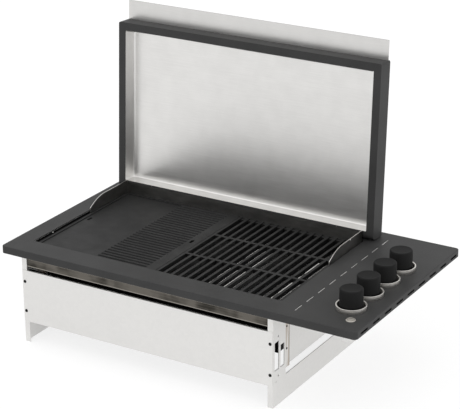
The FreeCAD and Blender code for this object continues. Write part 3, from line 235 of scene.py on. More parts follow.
def with_shaded_ledge(tree, place, colour):
    """The colour, with painted shade on the inner part of a panel's folded ledge."""
    height = add(tree, "SeparateXYZ", {0: place}, out="Z")
    y = add(tree, "SeparateXYZ", {0: place}, out="Y")
    from_middle = add(tree, "Math", {0: y}, operation="ABSOLUTE")
    on_ledge = add(tree, "Math", {0: height, 1: LEDGE_HEIGHT, 2: LEDGE_REACH}, operation="COMPARE")
    inside = add(tree, "Math", {0: from_middle, 1: LEDGE_SHADE_EDGE}, operation="LESS_THAN")
    # The inner part of the ledge gets painted shade.
    painted_shade = add(tree, "Math", {0: on_ledge, 1: inside}, operation="MULTIPLY")
    return add(tree, "Mix", {FACTOR: painted_shade, FIRST: colour, SECOND: linear(LEDGE_SHADE)}, **COLOURS)


ledge_zinc = galvanised_sheet("galvanised_panel_sheet", with_shaded_ledge)
print(ledge_zinc.name)

# %% [markdown]
# The heat shields end in a strip beside each window. The strips get a painted reflection, brown in upright
# streaks, and a line of painted shade along the fold. A noise that is drawn out along Z makes the streaks,
# and the distance from the middle keeps them on the strips.

# %% Painted reflection and shade on the heat shields' strips
# A painted reflection in brown streaks, and painted shade along the fold.
STRIP_REFLECTION_BROWN, FOLD_SHADE_BROWN = "#c6bcb2", "#8d847a"
STREAK_SIZE = (400, 7, 90)
STREAK_SPAN = {"From Min": 0.35, "From Max": 0.6}
STRIP_WIDTH, STRIP_FOLD = 25 * MM, 1.2 * MM
STRIP_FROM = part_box("right_heat_shield")[1].y - STRIP_WIDTH


def with_painted_strip_light(tree, place, colour):
    """The colour, with a painted brown reflection on the strips and painted shade along their folds."""
    y = add(tree, "SeparateXYZ", {0: place}, out="Y")
    from_middle = add(tree, "Math", {0: y}, operation="ABSOLUTE")
    on_strip = add(tree, "Math", {0: from_middle, 1: STRIP_FROM}, operation="GREATER_THAN")
    upright = add(tree, "Mapping", {"Vector": place, "Scale": spread(*STREAK_SIZE)})
    streak = add(tree, "TexNoise", {"Vector": upright, "Scale": 1.0, "Detail": 2.0})
    streaks = add(tree, "MapRange", {"Value": streak, **STREAK_SPAN})
    # The strips get a painted reflection in brown streaks, and their folds a line of painted shade.
    reflected = add(tree, "Math", {0: on_strip, 1: streaks}, operation="MULTIPLY")
    brown = add(tree, "Mix", {FACTOR: reflected, FIRST: colour, SECOND: linear(STRIP_REFLECTION_BROWN)}, **COLOURS)
    painted_line = add(tree, "Math", {0: from_middle, 1: STRIP_FROM, 2: STRIP_FOLD}, operation="COMPARE")
    return add(tree, "Mix", {FACTOR: painted_line, FIRST: brown, SECOND: linear(FOLD_SHADE_BROWN)}, **COLOURS)


strip_zinc = galvanised_sheet("galvanised_shield_sheet", with_painted_strip_light)
print(strip_zinc.name, "from", round(STRIP_FROM, 4))

# %% [markdown]
# ## Stainless steel
# The lid's inner pan and its handle plate are brushed stainless sheet. Brushing leaves fine scratches along
# the sheet, which blur reflections. A noise stretched along X draws the scratches, and a slow cloud adds the
# uneven sheen of rolled sheet. The handle plate is a greyer sheet, and its sheared top edge is matt. The edge
# is found by its height on the plate, which stays the same when the lid is shut.

# %% Brushed stainless
SCRATCH_SIZE, SHEET_CLOUD = (60, 2, 2), 40
SHEET_SPAN = {"From Min": 0.75, "From Max": 1.25}
BRUSHED_ROUGH = {"To Min": 0.28, "To Max": 0.34}
SHEARED_GREY = "#8f8e8c"
FINE_HEIGHT = 0.2 * MM
EDGE_REACH = 0.3 * MM
HANDLE_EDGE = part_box("lid_handle")[1].z - EDGE_REACH


def with_matt_edge(tree, place, colour):
    """The colour, with a grey line along the handle plate's top edge."""
    height = add(tree, "SeparateXYZ", {0: place}, out="Z")
    edge = add(tree, "Math", {0: height, 1: HANDLE_EDGE}, operation="GREATER_THAN")
    return add(tree, "Mix", {FACTOR: edge, FIRST: colour, SECOND: linear(SHEARED_GREY)}, **COLOURS)


def brushed_stainless(name, dark, light, wear_and_painted_light=None):
    """Bright grey metal: blurred reflections, drawn out across fine lengthwise scratches."""
    material, tree, shader, place = new_material(name)
    along = add(tree, "Mapping", {"Vector": place, "Scale": spread(*SCRATCH_SIZE)})
    scratch = add(tree, "TexNoise", {"Vector": along, "Scale": 1.0, "Detail": 5.0})
    cloud = add(tree, "TexNoise", {"Vector": place, "Scale": per_mm(SHEET_CLOUD), "Detail": 4.0})
    tone = add(tree, "Math", {0: scratch, 1: cloud}, operation="ADD")
    share = add(tree, "MapRange", {"Value": tone, **SHEET_SPAN})
    colour = add(tree, "Mix", {FACTOR: share, FIRST: linear(dark), SECOND: linear(light)}, **COLOURS)
    if wear_and_painted_light:
        colour = wear_and_painted_light(tree, place, colour)
    rough = add(tree, "MapRange", {"Value": scratch, **NOISE_SPAN, **BRUSHED_ROUGH})
    brush = add(tree, "Bump", {"Height": scratch, "Strength": 0.03, "Distance": FINE_HEIGHT})
    wire(tree, shader, {"Base Color": colour, "Roughness": rough, "Normal": brush, "Metallic": 1.0})
    return material


stainless = brushed_stainless("brushed_stainless", "#dad9d7", "#e1e0de")
handle_stainless = brushed_stainless("grey_brushed_stainless", "#d0cfcd", "#d6d5d3", with_matt_edge)
print(stainless.name, handle_stainless.name)

# %% [markdown]
# The wind guards stand close to the flames. Their dark, mottled brown-grey tone is painted reflection: it
# darkens them like the dark plates they mirror. The side guards' edges get a painted highlight, and the rear
# one's a painted shadow. The guards are flat, so faces that lie along the sheet's thickness are the edges,
# and the surface normal tells them apart.

# %% Guards in painted reflection, with painted edges
MOTTLE_SIZE, GUARD_BRUSH_SIZE = (30, 30, 12), (60, 60, 2)
DULL_ROUGH = {"To Min": 0.3, "To Max": 0.4}


def guard_with_painted_light(name, thickness_axis, dark, light, painted_edge):
    """Brown-grey metal in painted dark reflection, with a painted line of its own along each edge."""
    material, tree, shader, place = new_material(name)
    flat = add(tree, "Mapping", {"Vector": place, "Scale": spread(*MOTTLE_SIZE)})
    mottle = add(tree, "TexNoise", {"Vector": flat, "Scale": 1.0, "Detail": 4.0})
    share = add(tree, "MapRange", {"Value": mottle, **NOISE_SPAN})
    # The dark mottled tone is painted reflection.
    tint = add(tree, "Mix", {FACTOR: share, FIRST: linear(dark), SECOND: linear(light)}, **COLOURS)
    across = add(tree, "SeparateXYZ", {0: add(tree, "NewGeometry", out="Normal")}, out=thickness_axis)
    edge = add(tree, "Math", {0: across, 1: 0.0, 2: TURNED_AWAY}, operation="COMPARE")
    colour = add(tree, "Mix", {FACTOR: edge, FIRST: tint, SECOND: linear(painted_edge)}, **COLOURS)
    level = add(tree, "Mapping", {"Vector": place, "Scale": spread(*GUARD_BRUSH_SIZE)})
    brush = add(tree, "TexNoise", {"Vector": level, "Scale": 1.0, "Detail": 4.0})
    rough = add(tree, "MapRange", {"Value": brush, **NOISE_SPAN, **DULL_ROUGH})
    wire(tree, shader, {"Base Color": colour, "Roughness": rough, "Metallic": 1.0})
    return material


# The side guards' edges get a painted highlight and the rear guard's a painted shadow.
side_guard = guard_with_painted_light("side_guard_painted_reflection_and_highlight", "X", "#838280", "#969593", "#dedcd8")
back_guard = guard_with_painted_light("rear_guard_painted_reflection_and_shade", "Y", "#737270", "#848380", "#1c1b1a")
print(side_guard.name, back_guard.name)

# %% [markdown]
# The rails under the rim are stainless channels too. Their brown-grey is painted shade, for the shadow under
# the rim, with darker patches a hand or two apart. Two thin painted highlights run along each rail: one at
# the lower fold and one higher up.

# %% Rails in painted shade, with painted highlights
# The rail's tones are painted shade, and the line colour is a painted highlight.
SHADED_RAIL_DARK, SHADED_RAIL_LIGHT, RAIL_HIGHLIGHT = "#35332f", "#67635d", "#8f8b84"
PATCH_SIZE, RAIL_BRUSH_SIZE, BRUSH_SHARE = (55, 400, 70), (80, 2, 2), 0.3
PATCH_SPAN = {"From Min": 0.5, "From Max": 0.75}
HIGHLIGHT_HEIGHTS = (0.2106, 0.2302)
HIGHLIGHT_REACH = 1.1 * MM


def shaded_rail():
    """Dull brown-grey metal in painted shade, with soft dark patches and two thin painted highlights."""
    material, tree, shader, place = new_material("stainless_painted_shade_and_highlights")
    patchy = add(tree, "Mapping", {"Vector": place, "Scale": spread(*PATCH_SIZE)})
    patch = add(tree, "TexNoise", {"Vector": patchy, "Scale": 1.0})
    along = add(tree, "Mapping", {"Vector": place, "Scale": spread(*RAIL_BRUSH_SIZE)})
    brush = add(tree, "TexNoise", {"Vector": along, "Scale": 1.0, "Detail": 5.0})
    tone = add(tree, "Math", {0: brush, 1: BRUSH_SHARE, 2: patch}, operation="MULTIPLY_ADD")
    share = add(tree, "MapRange", {"Value": tone, **PATCH_SPAN})
    shades = {FACTOR: share, FIRST: linear(SHADED_RAIL_DARK), SECOND: linear(SHADED_RAIL_LIGHT)}
    colour = add(tree, "Mix", shades, **COLOURS)
    height = add(tree, "SeparateXYZ", {0: place}, out="Z")
    # Two painted highlights along the rail.
    for painted_line in HIGHLIGHT_HEIGHTS:
        line = add(tree, "Math", {0: height, 1: painted_line, 2: HIGHLIGHT_REACH}, operation="COMPARE")
        colour = add(tree, "Mix", {FACTOR: line, FIRST: colour, SECOND: linear(RAIL_HIGHLIGHT)}, **COLOURS)
    rough = add(tree, "MapRange", {"Value": brush, **NOISE_SPAN, **DULL_ROUGH})
    wire(tree, shader, {"Base Color": colour, "Roughness": rough, "Metallic": 1.0})
    return material


rail = shaded_rail()
print(rail.name)

# %% [markdown]
# ## Cast iron
# The cooking plates are sand castings, seasoned with burnt oil. The skin keeps the grain of the sand and the
# oil gives it a dull gloss. The hotplate's grooves get painted shade, blacker the deeper they go. The grill's
# bars get painted shade on every face that doesn't look up.

# %% Cast iron
# The last two colours are painted shade, for the hotplate's grooves and the grill bars' flanks.
IRON_DARK, IRON_LIGHT, GROOVE_SHADE, FLANK_SHADE = "#242424", "#2c2c2c", "#0d0d0d", "#191919"
SAND_GRAIN, SAND_HEIGHT, OIL_STAIN = 1.8, 0.4 * MM, 40
IRON_ROUGH = {"To Min": 0.5, "To Max": 0.64}
GROOVES_FROM = -0.265
GROOVE_MOUTH, GROOVE_SOLE = 0.2538, 0.25


def with_shaded_grooves(tree, place, colour):
    """The colour, with painted shade that blackens it the deeper it lies in the hotplate's ribbed grooves."""
    x = add(tree, "SeparateXYZ", {0: place}, out="X")
    height = add(tree, "SeparateXYZ", {0: place}, out="Z")
    ribbed = add(tree, "Math", {0: x, 1: GROOVES_FROM}, operation="GREATER_THAN")
    deep = add(tree, "MapRange", {"Value": height, "From Min": GROOVE_MOUTH, "From Max": GROOVE_SOLE})
    deep_shade = add(tree, "Math", {0: ribbed, 1: deep}, operation="MULTIPLY")
    return add(tree, "Mix", {FACTOR: deep_shade, FIRST: colour, SECOND: linear(GROOVE_SHADE)}, **COLOURS)


def with_shaded_flanks(tree, place, colour):
    """The colour, with painted shade on every face of the bars that doesn't look up."""
    upward = add(tree, "SeparateXYZ", {0: add(tree, "NewGeometry", out="Normal")}, out="Z")
    flank = add(tree, "Math", {0: upward, 1: TURNED_AWAY}, operation="LESS_THAN")
    return add(tree, "Mix", {FACTOR: flank, FIRST: colour, SECOND: linear(FLANK_SHADE)}, **COLOURS)


def cast_iron(name, wear_and_painted_light):
    """Near-black, grainy and slightly glossy."""
    material, tree, shader, place = new_material(name)
    sand = add(tree, "TexNoise", {"Vector": place, "Scale": per_mm(SAND_GRAIN), "Detail": 4.0})
    mottle = add(tree, "TexNoise", {"Vector": place, "Scale": per_mm(OIL_STAIN), "Detail": 3.0})
    tone = add(tree, "Math", {0: sand, 1: mottle}, operation="ADD")
    share = add(tree, "MapRange", {"Value": tone, **SUM_SPAN})
    shades = {FACTOR: share, FIRST: linear(IRON_DARK), SECOND: linear(IRON_LIGHT)}
    colour = wear_and_painted_light(tree, place, add(tree, "Mix", shades, **COLOURS))
    rough = add(tree, "MapRange", {"Value": mottle, **NOISE_SPAN, **IRON_ROUGH})
    skin = add(tree, "Bump", {"Height": sand, "Strength": 0.3, "Distance": SAND_HEIGHT})
    wire(tree, shader, {"Base Color": colour, "Roughness": rough, "Normal": skin})
    wire(tree, shader, {"Specular IOR Level": 0.22})
    return material


grooved_iron = cast_iron("seasoned_iron_shaded_grooves", with_shaded_grooves)
flank_shaded_iron = cast_iron("seasoned_iron_shaded_flanks", with_shaded_flanks)
print(grooved_iron.name, flank_shaded_iron.name)

# %% [markdown]
# ## The other finishes
# Small parts need fewer features: a colour with a slight unevenness, a roughness and a fine grain. One
# function covers turned brass, plating, enamel, plastic and ceramic, with values for each. The comment above
# each says what it gives the eye. The gas rail is galvanised like the frames.

# %% Plain finishes
UNEVEN = 0.04


def plain_finish(name, dark, light, metallic=0.0, roughness=0.5, grain=3, bump=0.05, specular=0.5):
    """A slightly uneven colour and roughness, over a fine grain of so many millimetres."""
    material, tree, shader, place = new_material(name)
    noise = add(tree, "TexNoise", {"Vector": place, "Scale": per_mm(grain), "Detail": 3.0})
    share = add(tree, "MapRange", {"Value": noise, **NOISE_SPAN})
    colour = add(tree, "Mix", {FACTOR: share, FIRST: linear(dark), SECOND: linear(light)}, **COLOURS)
    span = {"To Min": roughness - UNEVEN, "To Max": roughness + UNEVEN}
    rough = add(tree, "MapRange", {"Value": noise, **NOISE_SPAN, **span})
    skin = add(tree, "Bump", {"Height": noise, "Strength": bump, "Distance": FINE_HEIGHT})
    wire(tree, shader, {"Base Color": colour, "Roughness": rough, "Normal": skin})
    wire(tree, shader, {"Metallic": metallic, "Specular IOR Level": specular})
    return material


FINISHES = {
    "coated_steel": coat,
    "galvanised_steel": zinc,
    "steel_tube": zinc,
    "stainless_steel": stainless,
    "cast_iron": flank_shaded_iron,
    # Glassy black with clear highlights.
    "dark_enamel": plain_finish("black_enamel", "#0a0a0a", "#111110", roughness=0.3, specular=0.12),
    # Pale grey tube with a soft sheen.
    "aluminium": plain_finish("mill_aluminium", "#bfc0c1", "#d2d3d4", metallic=1.0, roughness=0.35, grain=6),
    # Warm yellow with turned highlights.
    "brass": plain_finish("turned_brass", "#a98b4a", "#c4a45c", metallic=1.0, roughness=0.3, grain=4,
                          bump=0.04),
    # Bright, slightly warm metal with softened reflections.
    "chrome": plain_finish("satin_chrome", "#dcdad7", "#e8e7e5", metallic=1.0, roughness=0.26, grain=5,
                           bump=0.02),
    # Dull black with a faint moulded grain.
    "black_plastic": plain_finish("moulded_black_plastic", "#1b1b1b", "#202020", roughness=0.6, grain=1.2,
                                  bump=0.12, specular=0.1),
    # Black with a weak metallic gleam.
    "black_screw": plain_finish("black_oxide_steel", "#0c0c0c", "#141414", metallic=0.4, roughness=0.45,
                                grain=1.5, bump=0.08, specular=0.3),
    # Chalky off-white.
    "ceramic": plain_finish("unglazed_ceramic", "#dcd7ca", "#ece8de", roughness=0.55, grain=1.5, bump=0.08),
}
print(len(FINISHES), "finishes, one for each material of the record")

# %% [markdown]
# Some pieces differ from the rest of their material. The flame tamers are polished, so that their slopes
# flash between the grill's bars. The knob rings are blasted before plating, which gives pale metal a wide,
# soft glow. The igniter's plating is dull with use: an even, warm grey with hardly any mirror image. The
# firebox's front shows only in a narrow gap, and is painted plain black there as painted shade. Every node
# of the frame then gets its own finish, or else the one of its material.

# %% Finishes of single pieces
polished = plain_finish("polished_stainless", "#f0efed", "#f8f8f6", metallic=1.0, roughness=0.22, grain=30,
                        bump=0.01)
blasted_ring = plain_finish("blasted_chrome", "#d8d5d0", "#e2dfda", metallic=1.0, roughness=0.4, grain=2,
                            bump=0.03)
worn_plating = plain_finish("worn_nickel_plating", "#b3afa8", "#c0bcb5", metallic=1.0, bump=0.03)
# Plain black for the firebox's front is painted shade.
gap_shade = plain_finish("enamel_painted_shade", "#040404", "#070707", roughness=0.6, specular=0.02)
OWN_FINISHES = {
    "top_panel": punched_coat,
    "firebox_front": gap_shade,
    "lid_handle": handle_stainless,
    "front_panel": ledge_zinc,
    "rear_panel": ledge_zinc,
    "left_heat_shield": strip_zinc,
    "right_heat_shield": strip_zinc,
    "left_side_guard": side_guard,
    "right_side_guard": side_guard,
    "rear_guard": back_guard,
    "front_rail": rail,
    "rear_rail": rail,
    "hotplate": grooved_iron,
}
COOKING_ZONES = (1, 2, 3, 4)
for zone in COOKING_ZONES:
    OWN_FINISHES["flame_tamer_" + str(zone)] = polished
for subpart in frame["record"]["subparts"]:
    slots = NODES[subpart["node"]].data.materials
    slots.clear()
    slots.append(OWN_FINISHES.get(subpart["node"], FINISHES[subpart["material_slot"]]))

# %% [markdown]
# ## Turned pieces
# Knobs, their rings and the igniter are round, so each starts as half of its outline: a chain of corners.
# A vertex bevel rounds the corners, and a full spin about Z turns the chain into a skin. Shapes are drawn in
# millimetres about their own axis, then scaled and moved to the place that the frame gives.

# %% Turned shapes
TURN_STEPS, CORNER_STEPS, MERGE_GAP = 72, 5, 0.001


def turned(outline, closed=False, steps=TURN_STEPS):
    """A skin spun about Z from corners of (radius, height, rounding)."""
    shape = bmesh.new()
    corners = [shape.verts.new((radius, 0, height)) for radius, height, _ in outline]
    ends = corners[1:] + corners[:1] if closed else corners[1:]
    for start, end in zip(corners, ends):
        shape.edges.new((start, end))
    for corner, (_, _, rounding) in zip(corners, outline):
        if rounding:
            bmesh.ops.bevel(shape, geom=[corner], offset=rounding, affect="VERTICES",
                            segments=CORNER_STEPS, profile=0.5, material=-1)
    chain = shape.verts[:] + shape.edges[:]
    bmesh.ops.spin(shape, geom=chain, axis=(0, 0, 1), angle=2 * math.pi, steps=steps, use_merge=True)
    bmesh.ops.remove_doubles(shape, verts=shape.verts, dist=MERGE_GAP)
    bmesh.ops.recalc_face_normals(shape, faces=shape.faces)
    return shape


def placed(shape, place, turn=None):
    """A shape drawn in millimetres, turned, scaled to metres and moved to its place."""
    if turn:
        bmesh.ops.rotate(shape, verts=shape.verts, matrix=turn)
    bmesh.ops.scale(shape, verts=shape.verts, vec=(MM, MM, MM))
    bmesh.ops.translate(shape, verts=shape.verts, vec=place)
    return shape


print("turned shapes have", TURN_STEPS, "sides")

# %% [markdown]
# One or more shapes make an object. It rides on a body, so that it moves with that body's joint, and it may
# stand for a node of the frame. Places come from the boxes of the frame's nodes, so that new pieces follow
# them. Edges that bend by more than a limit are kept sharp, and the rest is shaded smooth.

# %% Pieces from shapes
SHARP_ANGLE = 40


def new_piece(name, shapes, body, slot, node=None, finish=None):
    """One object from placed shapes, which rides on a body and may stand for a node of the frame."""
    joined = bmesh.new()
    mesh = bpy.data.meshes.new(name)
    for shape in shapes:
        shape.to_mesh(mesh)
        shape.free()
        joined.from_mesh(mesh)
    joined.to_mesh(mesh)
    joined.free()
    mesh.shade_smooth()
    mesh.set_sharp_from_angle(angle=math.radians(SHARP_ANGLE))
    mesh.materials.append(finish or FINISHES[slot])
    made = bpy.data.objects.new(name, mesh)
    bpy.context.scene.collection.objects.link(made)
    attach(made, body)
    if node:
        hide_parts(node)
    print(name, len(mesh.polygons), "faces, for", node or "no node")
    return made


def foot_of(node):
    """The middle of a node's lowest face."""
    low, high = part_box(node)
    return Vector(((low.x + high.x) / 2, (low.y + high.y) / 2, low.z))


print("the first knob stands at", [round(side / MM, 1) for side in foot_of("knob_1")])

# %% [markdown]
# ## Knobs
# Each knob is a moulded cap: a slightly tapered skirt, a softly rounded top edge and a shallow dish on top.
# Below it is hollow, with a hub for the valve stem. A small ridge at the back of the skirt marks where the
# knob points.

# %% Knobs
KNOB_R, KNOB_TOP_R, KNOB_HEIGHT, KNOB_WALL = 28.3, 27.9, 48.0, 2.6
HUB_R, BORE_R, BORE_DEPTH = 8.5, 4.05, 23.0
# Corners of (radius, height, rounding): the dish on top, the skirt, the hollow and the hub with its bore.
KNOB_OUTLINE = [
    (0, KNOB_HEIGHT - 0.7, 0),
    (18, KNOB_HEIGHT - 0.5, 0),
    (23.5, KNOB_HEIGHT, 1.5),
    (KNOB_TOP_R, KNOB_HEIGHT, 2.8),
    (KNOB_R, 0, 0.6),
    (KNOB_R - KNOB_WALL, 0, 0.4),
    (KNOB_TOP_R - KNOB_WALL, KNOB_HEIGHT - 2 * KNOB_WALL, 1.5),
    (HUB_R, KNOB_HEIGHT - 2 * KNOB_WALL, 1.0),
    (HUB_R, 0, 0.5),
    (BORE_R, 0, 0.3),
    (BORE_R, BORE_DEPTH, 0),
    (0, BORE_DEPTH, 0),
]
POINTER_SIZE, POINTER_ROUNDING, POINTER_STEPS = (2.4, 1.8, 15.0), 0.6, 3
POINTER_SUNK, POINTER_DROP = 0.1, 12.0
POINTER_PLACE = (0, KNOB_TOP_R - POINTER_SUNK, KNOB_HEIGHT - POINTER_DROP)


def pointer_ridge():
    """A rounded bar that stands on the back of the skirt."""
    shape = bmesh.new()
    bmesh.ops.create_cube(shape, size=1)
    bmesh.ops.scale(shape, verts=shape.verts, vec=POINTER_SIZE)
    bmesh.ops.bevel(shape, geom=shape.edges[:], offset=POINTER_ROUNDING, affect="EDGES",
                    segments=POINTER_STEPS, profile=0.5, material=-1)
    bmesh.ops.translate(shape, verts=shape.verts, vec=POINTER_PLACE)
    return shape


for zone in COOKING_ZONES:
    knob = "knob_" + str(zone)
    foot = foot_of(knob)
    shapes = [placed(turned(KNOB_OUTLINE), foot), placed(pointer_ridge(), foot)]
    new_piece(knob + "_cap", shapes, knob, "black_plastic", knob)

# %% [markdown]
# ## Knob rings
# A pressed metal ring stands round each knob: a bulged wall with a rolled lip, which catches a bright line.
# The wall leans in towards its foot, so its glow fades downwards into the dark image of the panel. Its
# outline is closed, so that the spin makes a ring with an inside and an outside.

# %% Knob rings
# Corners of (radius, height, rounding): up the outside, over the lip and down the inside.
RING_OUTLINE = [
    (33.0, 0, 0),
    (35.6, 0, 0.3),
    (36.6, 6.4, 2.4),
    (36.2, 9.6, 0.5),
    (36.9, 10.3, 0.5),
    (36.9, 11.8, 0.9),
    (33.6, 11.8, 1.4),
    (33.0, 8.4, 0.8),
]
rings = []
ring_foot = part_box("knob_bezels")[0].z
for zone in COOKING_ZONES:
    foot = foot_of("knob_" + str(zone))
    rings.append(placed(turned(RING_OUTLINE, closed=True), (foot.x, foot.y, ring_foot)))
new_piece("knob_rings", rings, "chassis", "chrome", "knob_bezels", blasted_ring)

# %% [markdown]
# ## Igniter
# The igniter is a threaded barrel with a rounded collar, held by a nut under the panel, and a push button
# with a dished crown. The thread is drawn as rings, because its slope is too small to see.

# %% Igniter
COLLAR_R, COLLAR_T, BARREL_R, BARREL_LENGTH = 11.5, 2.2, 9.0, 42.0
BUTTON_R, BUTTON_BORE_R, BUTTON_DISH = 7.4, 7.45, 0.6
THREAD_PITCH, THREAD_DEPTH, THREAD_TURNS, THREAD_START = 2.0, 0.6, 14, 8.0
# Corners of (radius, height, rounding): the button's bore, the collar, then the barrel with its thread.
barrel_outline = [
    (0, -BARREL_LENGTH / 2, 0),
    (BUTTON_BORE_R, -BARREL_LENGTH / 2, 0),
    (BUTTON_BORE_R, COLLAR_T, 0.4),
    (COLLAR_R - 1.2, COLLAR_T, 0.8),
    (COLLAR_R, 0.8, 0.5),
    (COLLAR_R, 0, 0),
    (BARREL_R, 0, 0),
]
for ring in range(THREAD_TURNS):
    height = -THREAD_START - ring * THREAD_PITCH
    barrel_outline.append((BARREL_R, height, 0))
    barrel_outline.append((BARREL_R - THREAD_DEPTH, height - THREAD_PITCH / 2, 0))
barrel_outline += [(BARREL_R, -BARREL_LENGTH, 0.6), (0, -BARREL_LENGTH, 0)]
seat = foot_of("igniter_barrel") + Vector((0, 0, BARREL_LENGTH * MM))
barrel = placed(turned(barrel_outline), seat)
new_piece("igniter_collar", [barrel], "chassis", "chrome", "igniter_barrel", worn_plating)

button_low, button_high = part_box("igniter_button")
button_height = (button_high.z - button_low.z) / MM
# Corners of (radius, height, rounding): from the dish over the crown and down the side.
button_outline = [
    (0, button_height - BUTTON_DISH, 0),
    (4.2, button_height - BUTTON_DISH, 0.6),
    (6.0, button_height, 0.8),
    (BUTTON_R, button_height - 0.4, 0.8),
    (BUTTON_R, 0, 0.3),
    (0, 0, 0),
]
button = placed(turned(button_outline), foot_of("igniter_button"))
new_piece("igniter_cap", [button], "igniter_button", "chrome", "igniter_button", worn_plating)

# %% [markdown]
# ## Panel screws
# Low button-head screws hold the panels: a domed head, a hexagon socket and a shank. The head and shank are
# turned. The open ring in the middle is bridged to a hexagon, which is pushed down to make the socket.

# %% One screw
HEAD_R, HEAD_T, SHANK_R, SHANK_LENGTH = 4.2, 1.9, 2.0, 9.0
SOCKET_MOUTH_R, SOCKET_R, SOCKET_SUNK, SOCKET_DEPTH = 1.9, 1.6, 0.15, 1.1
SCREW_STEPS, HEXAGON_SIDES = 36, 6
# Corners of (radius, height, rounding): from the socket's mouth over the dome and down the shank.
SCREW_OUTLINE = [
    (SOCKET_MOUTH_R, HEAD_T, 0),
    (3.2, HEAD_T - 0.25, 1.0),
    (HEAD_R, 0.4, 0.3),
    (HEAD_R, 0, 0.1),
    (SHANK_R, 0, 0),
    (SHANK_R, -SHANK_LENGTH, 0.4),
    (0, -SHANK_LENGTH, 0),
]


def button_screw():
    """A screw along Z, with the underside of its head at the origin."""
    shape = turned(SCREW_OUTLINE, steps=SCREW_STEPS)
    mouth = [edge for edge in shape.edges if edge.is_boundary]
    flat = Matrix.Translation((0, 0, HEAD_T - SOCKET_SUNK))
    ring = bmesh.ops.create_circle(shape, segments=HEXAGON_SIDES, radius=SOCKET_R, cap_ends=False,
                                   matrix=flat)
    hexagon = list({edge for corner in ring["verts"] for edge in corner.link_edges})
    bmesh.ops.bridge_loops(shape, edges=mouth + hexagon)
    wall = bmesh.ops.extrude_edge_only(shape, edges=hexagon)["geom"]
    floor = [part for part in wall if isinstance(part, bmesh.types.BMVert)]
    bmesh.ops.translate(shape, verts=floor, vec=(0, 0, -SOCKET_DEPTH))
    bmesh.ops.contextual_create(shape, geom=floor)
    bmesh.ops.recalc_face_normals(shape, faces=shape.faces)
    return shape


print("screw heads are", 2 * HEAD_R, "mm across")

# %% [markdown]
# The front and rear panels have a screw near each corner. The box of the frame's node touches the outer
# edges of the heads, so the screws' places follow from it.

# %% Panel screws
def panel_screws():
    """Screws at the corners of the front panel, facing forwards, and of the rear one, facing back."""
    low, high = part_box("panel_screws")
    inset = HEAD_R * MM
    screws = []
    for face, angle in ((low.y + HEAD_T * MM, 90), (high.y - HEAD_T * MM, -90)):
        turn = Matrix.Rotation(math.radians(angle), 3, "X")
        for x in (low.x + inset, high.x - inset):
            for z in (low.z + inset, high.z - inset):
                screws.append(placed(button_screw(), (x, face, z), turn))
    return screws


new_piece("button_head_screws", panel_screws(), "chassis", "black_screw", "panel_screws")

# %% [markdown]
# The same screw, made smaller, goes through each hole in the heat shields' strips. The strips are on the
# outside of the shields, so the heads face away from the middle of the grill.

# %% Strip screws
STRIP_SCREW_SIZE = 0.65
STRIP_SCREW_DROPS = (49 * MM, 107 * MM)


def strip_screws(node, side):
    """Four screws in one shield, whose outer face is on the +X or -X side."""
    low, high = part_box(node)
    face = high.x if side > 0 else low.x
    turn = Matrix.Rotation(math.radians(90 * side), 3, "Y")
    screws = []
    for y in (low.y + STRIP_WIDTH / 2, high.y - STRIP_WIDTH / 2):
        for drop in STRIP_SCREW_DROPS:
            screw = button_screw()
            bmesh.ops.scale(screw, verts=screw.verts, vec=[STRIP_SCREW_SIZE] * 3)
            screws.append(placed(screw, (face, y, high.z - drop), turn))
    return screws


small_screws = strip_screws("right_heat_shield", 1) + strip_screws("left_heat_shield", -1)
new_piece("strip_screws", small_screws, "chassis", "black_screw")

# %% [markdown]
# ## The lid's inner pan
# The lid is lined with a pressed stainless pan. Its walls slant, as a pressing needs to leave its die, and
# that shows: the big sheet mirrors the dark plates down to its fold, and the slanted walls mirror the white
# backdrop. The lower wall slants less than the others, so it shows as a narrower band.
# The pan starts as a flat sheet in the plane of the lid. An inset marks its mouth, the mouth is pushed back
# and made smaller, the folds are rounded and the sheet gets its thickness.

# %% Shape of the pan
PAN_FLANGE, PAN_LOW_FLANGE = 12.0, 1.5
PAN_DEPTH, PAN_DRAFT, PAN_LOW_DRAFT, PAN_SHEET = 31.0, 7.5, 2.5, 0.8
PAN_FOLD, PAN_FOLD_STEPS = 4.0, 8


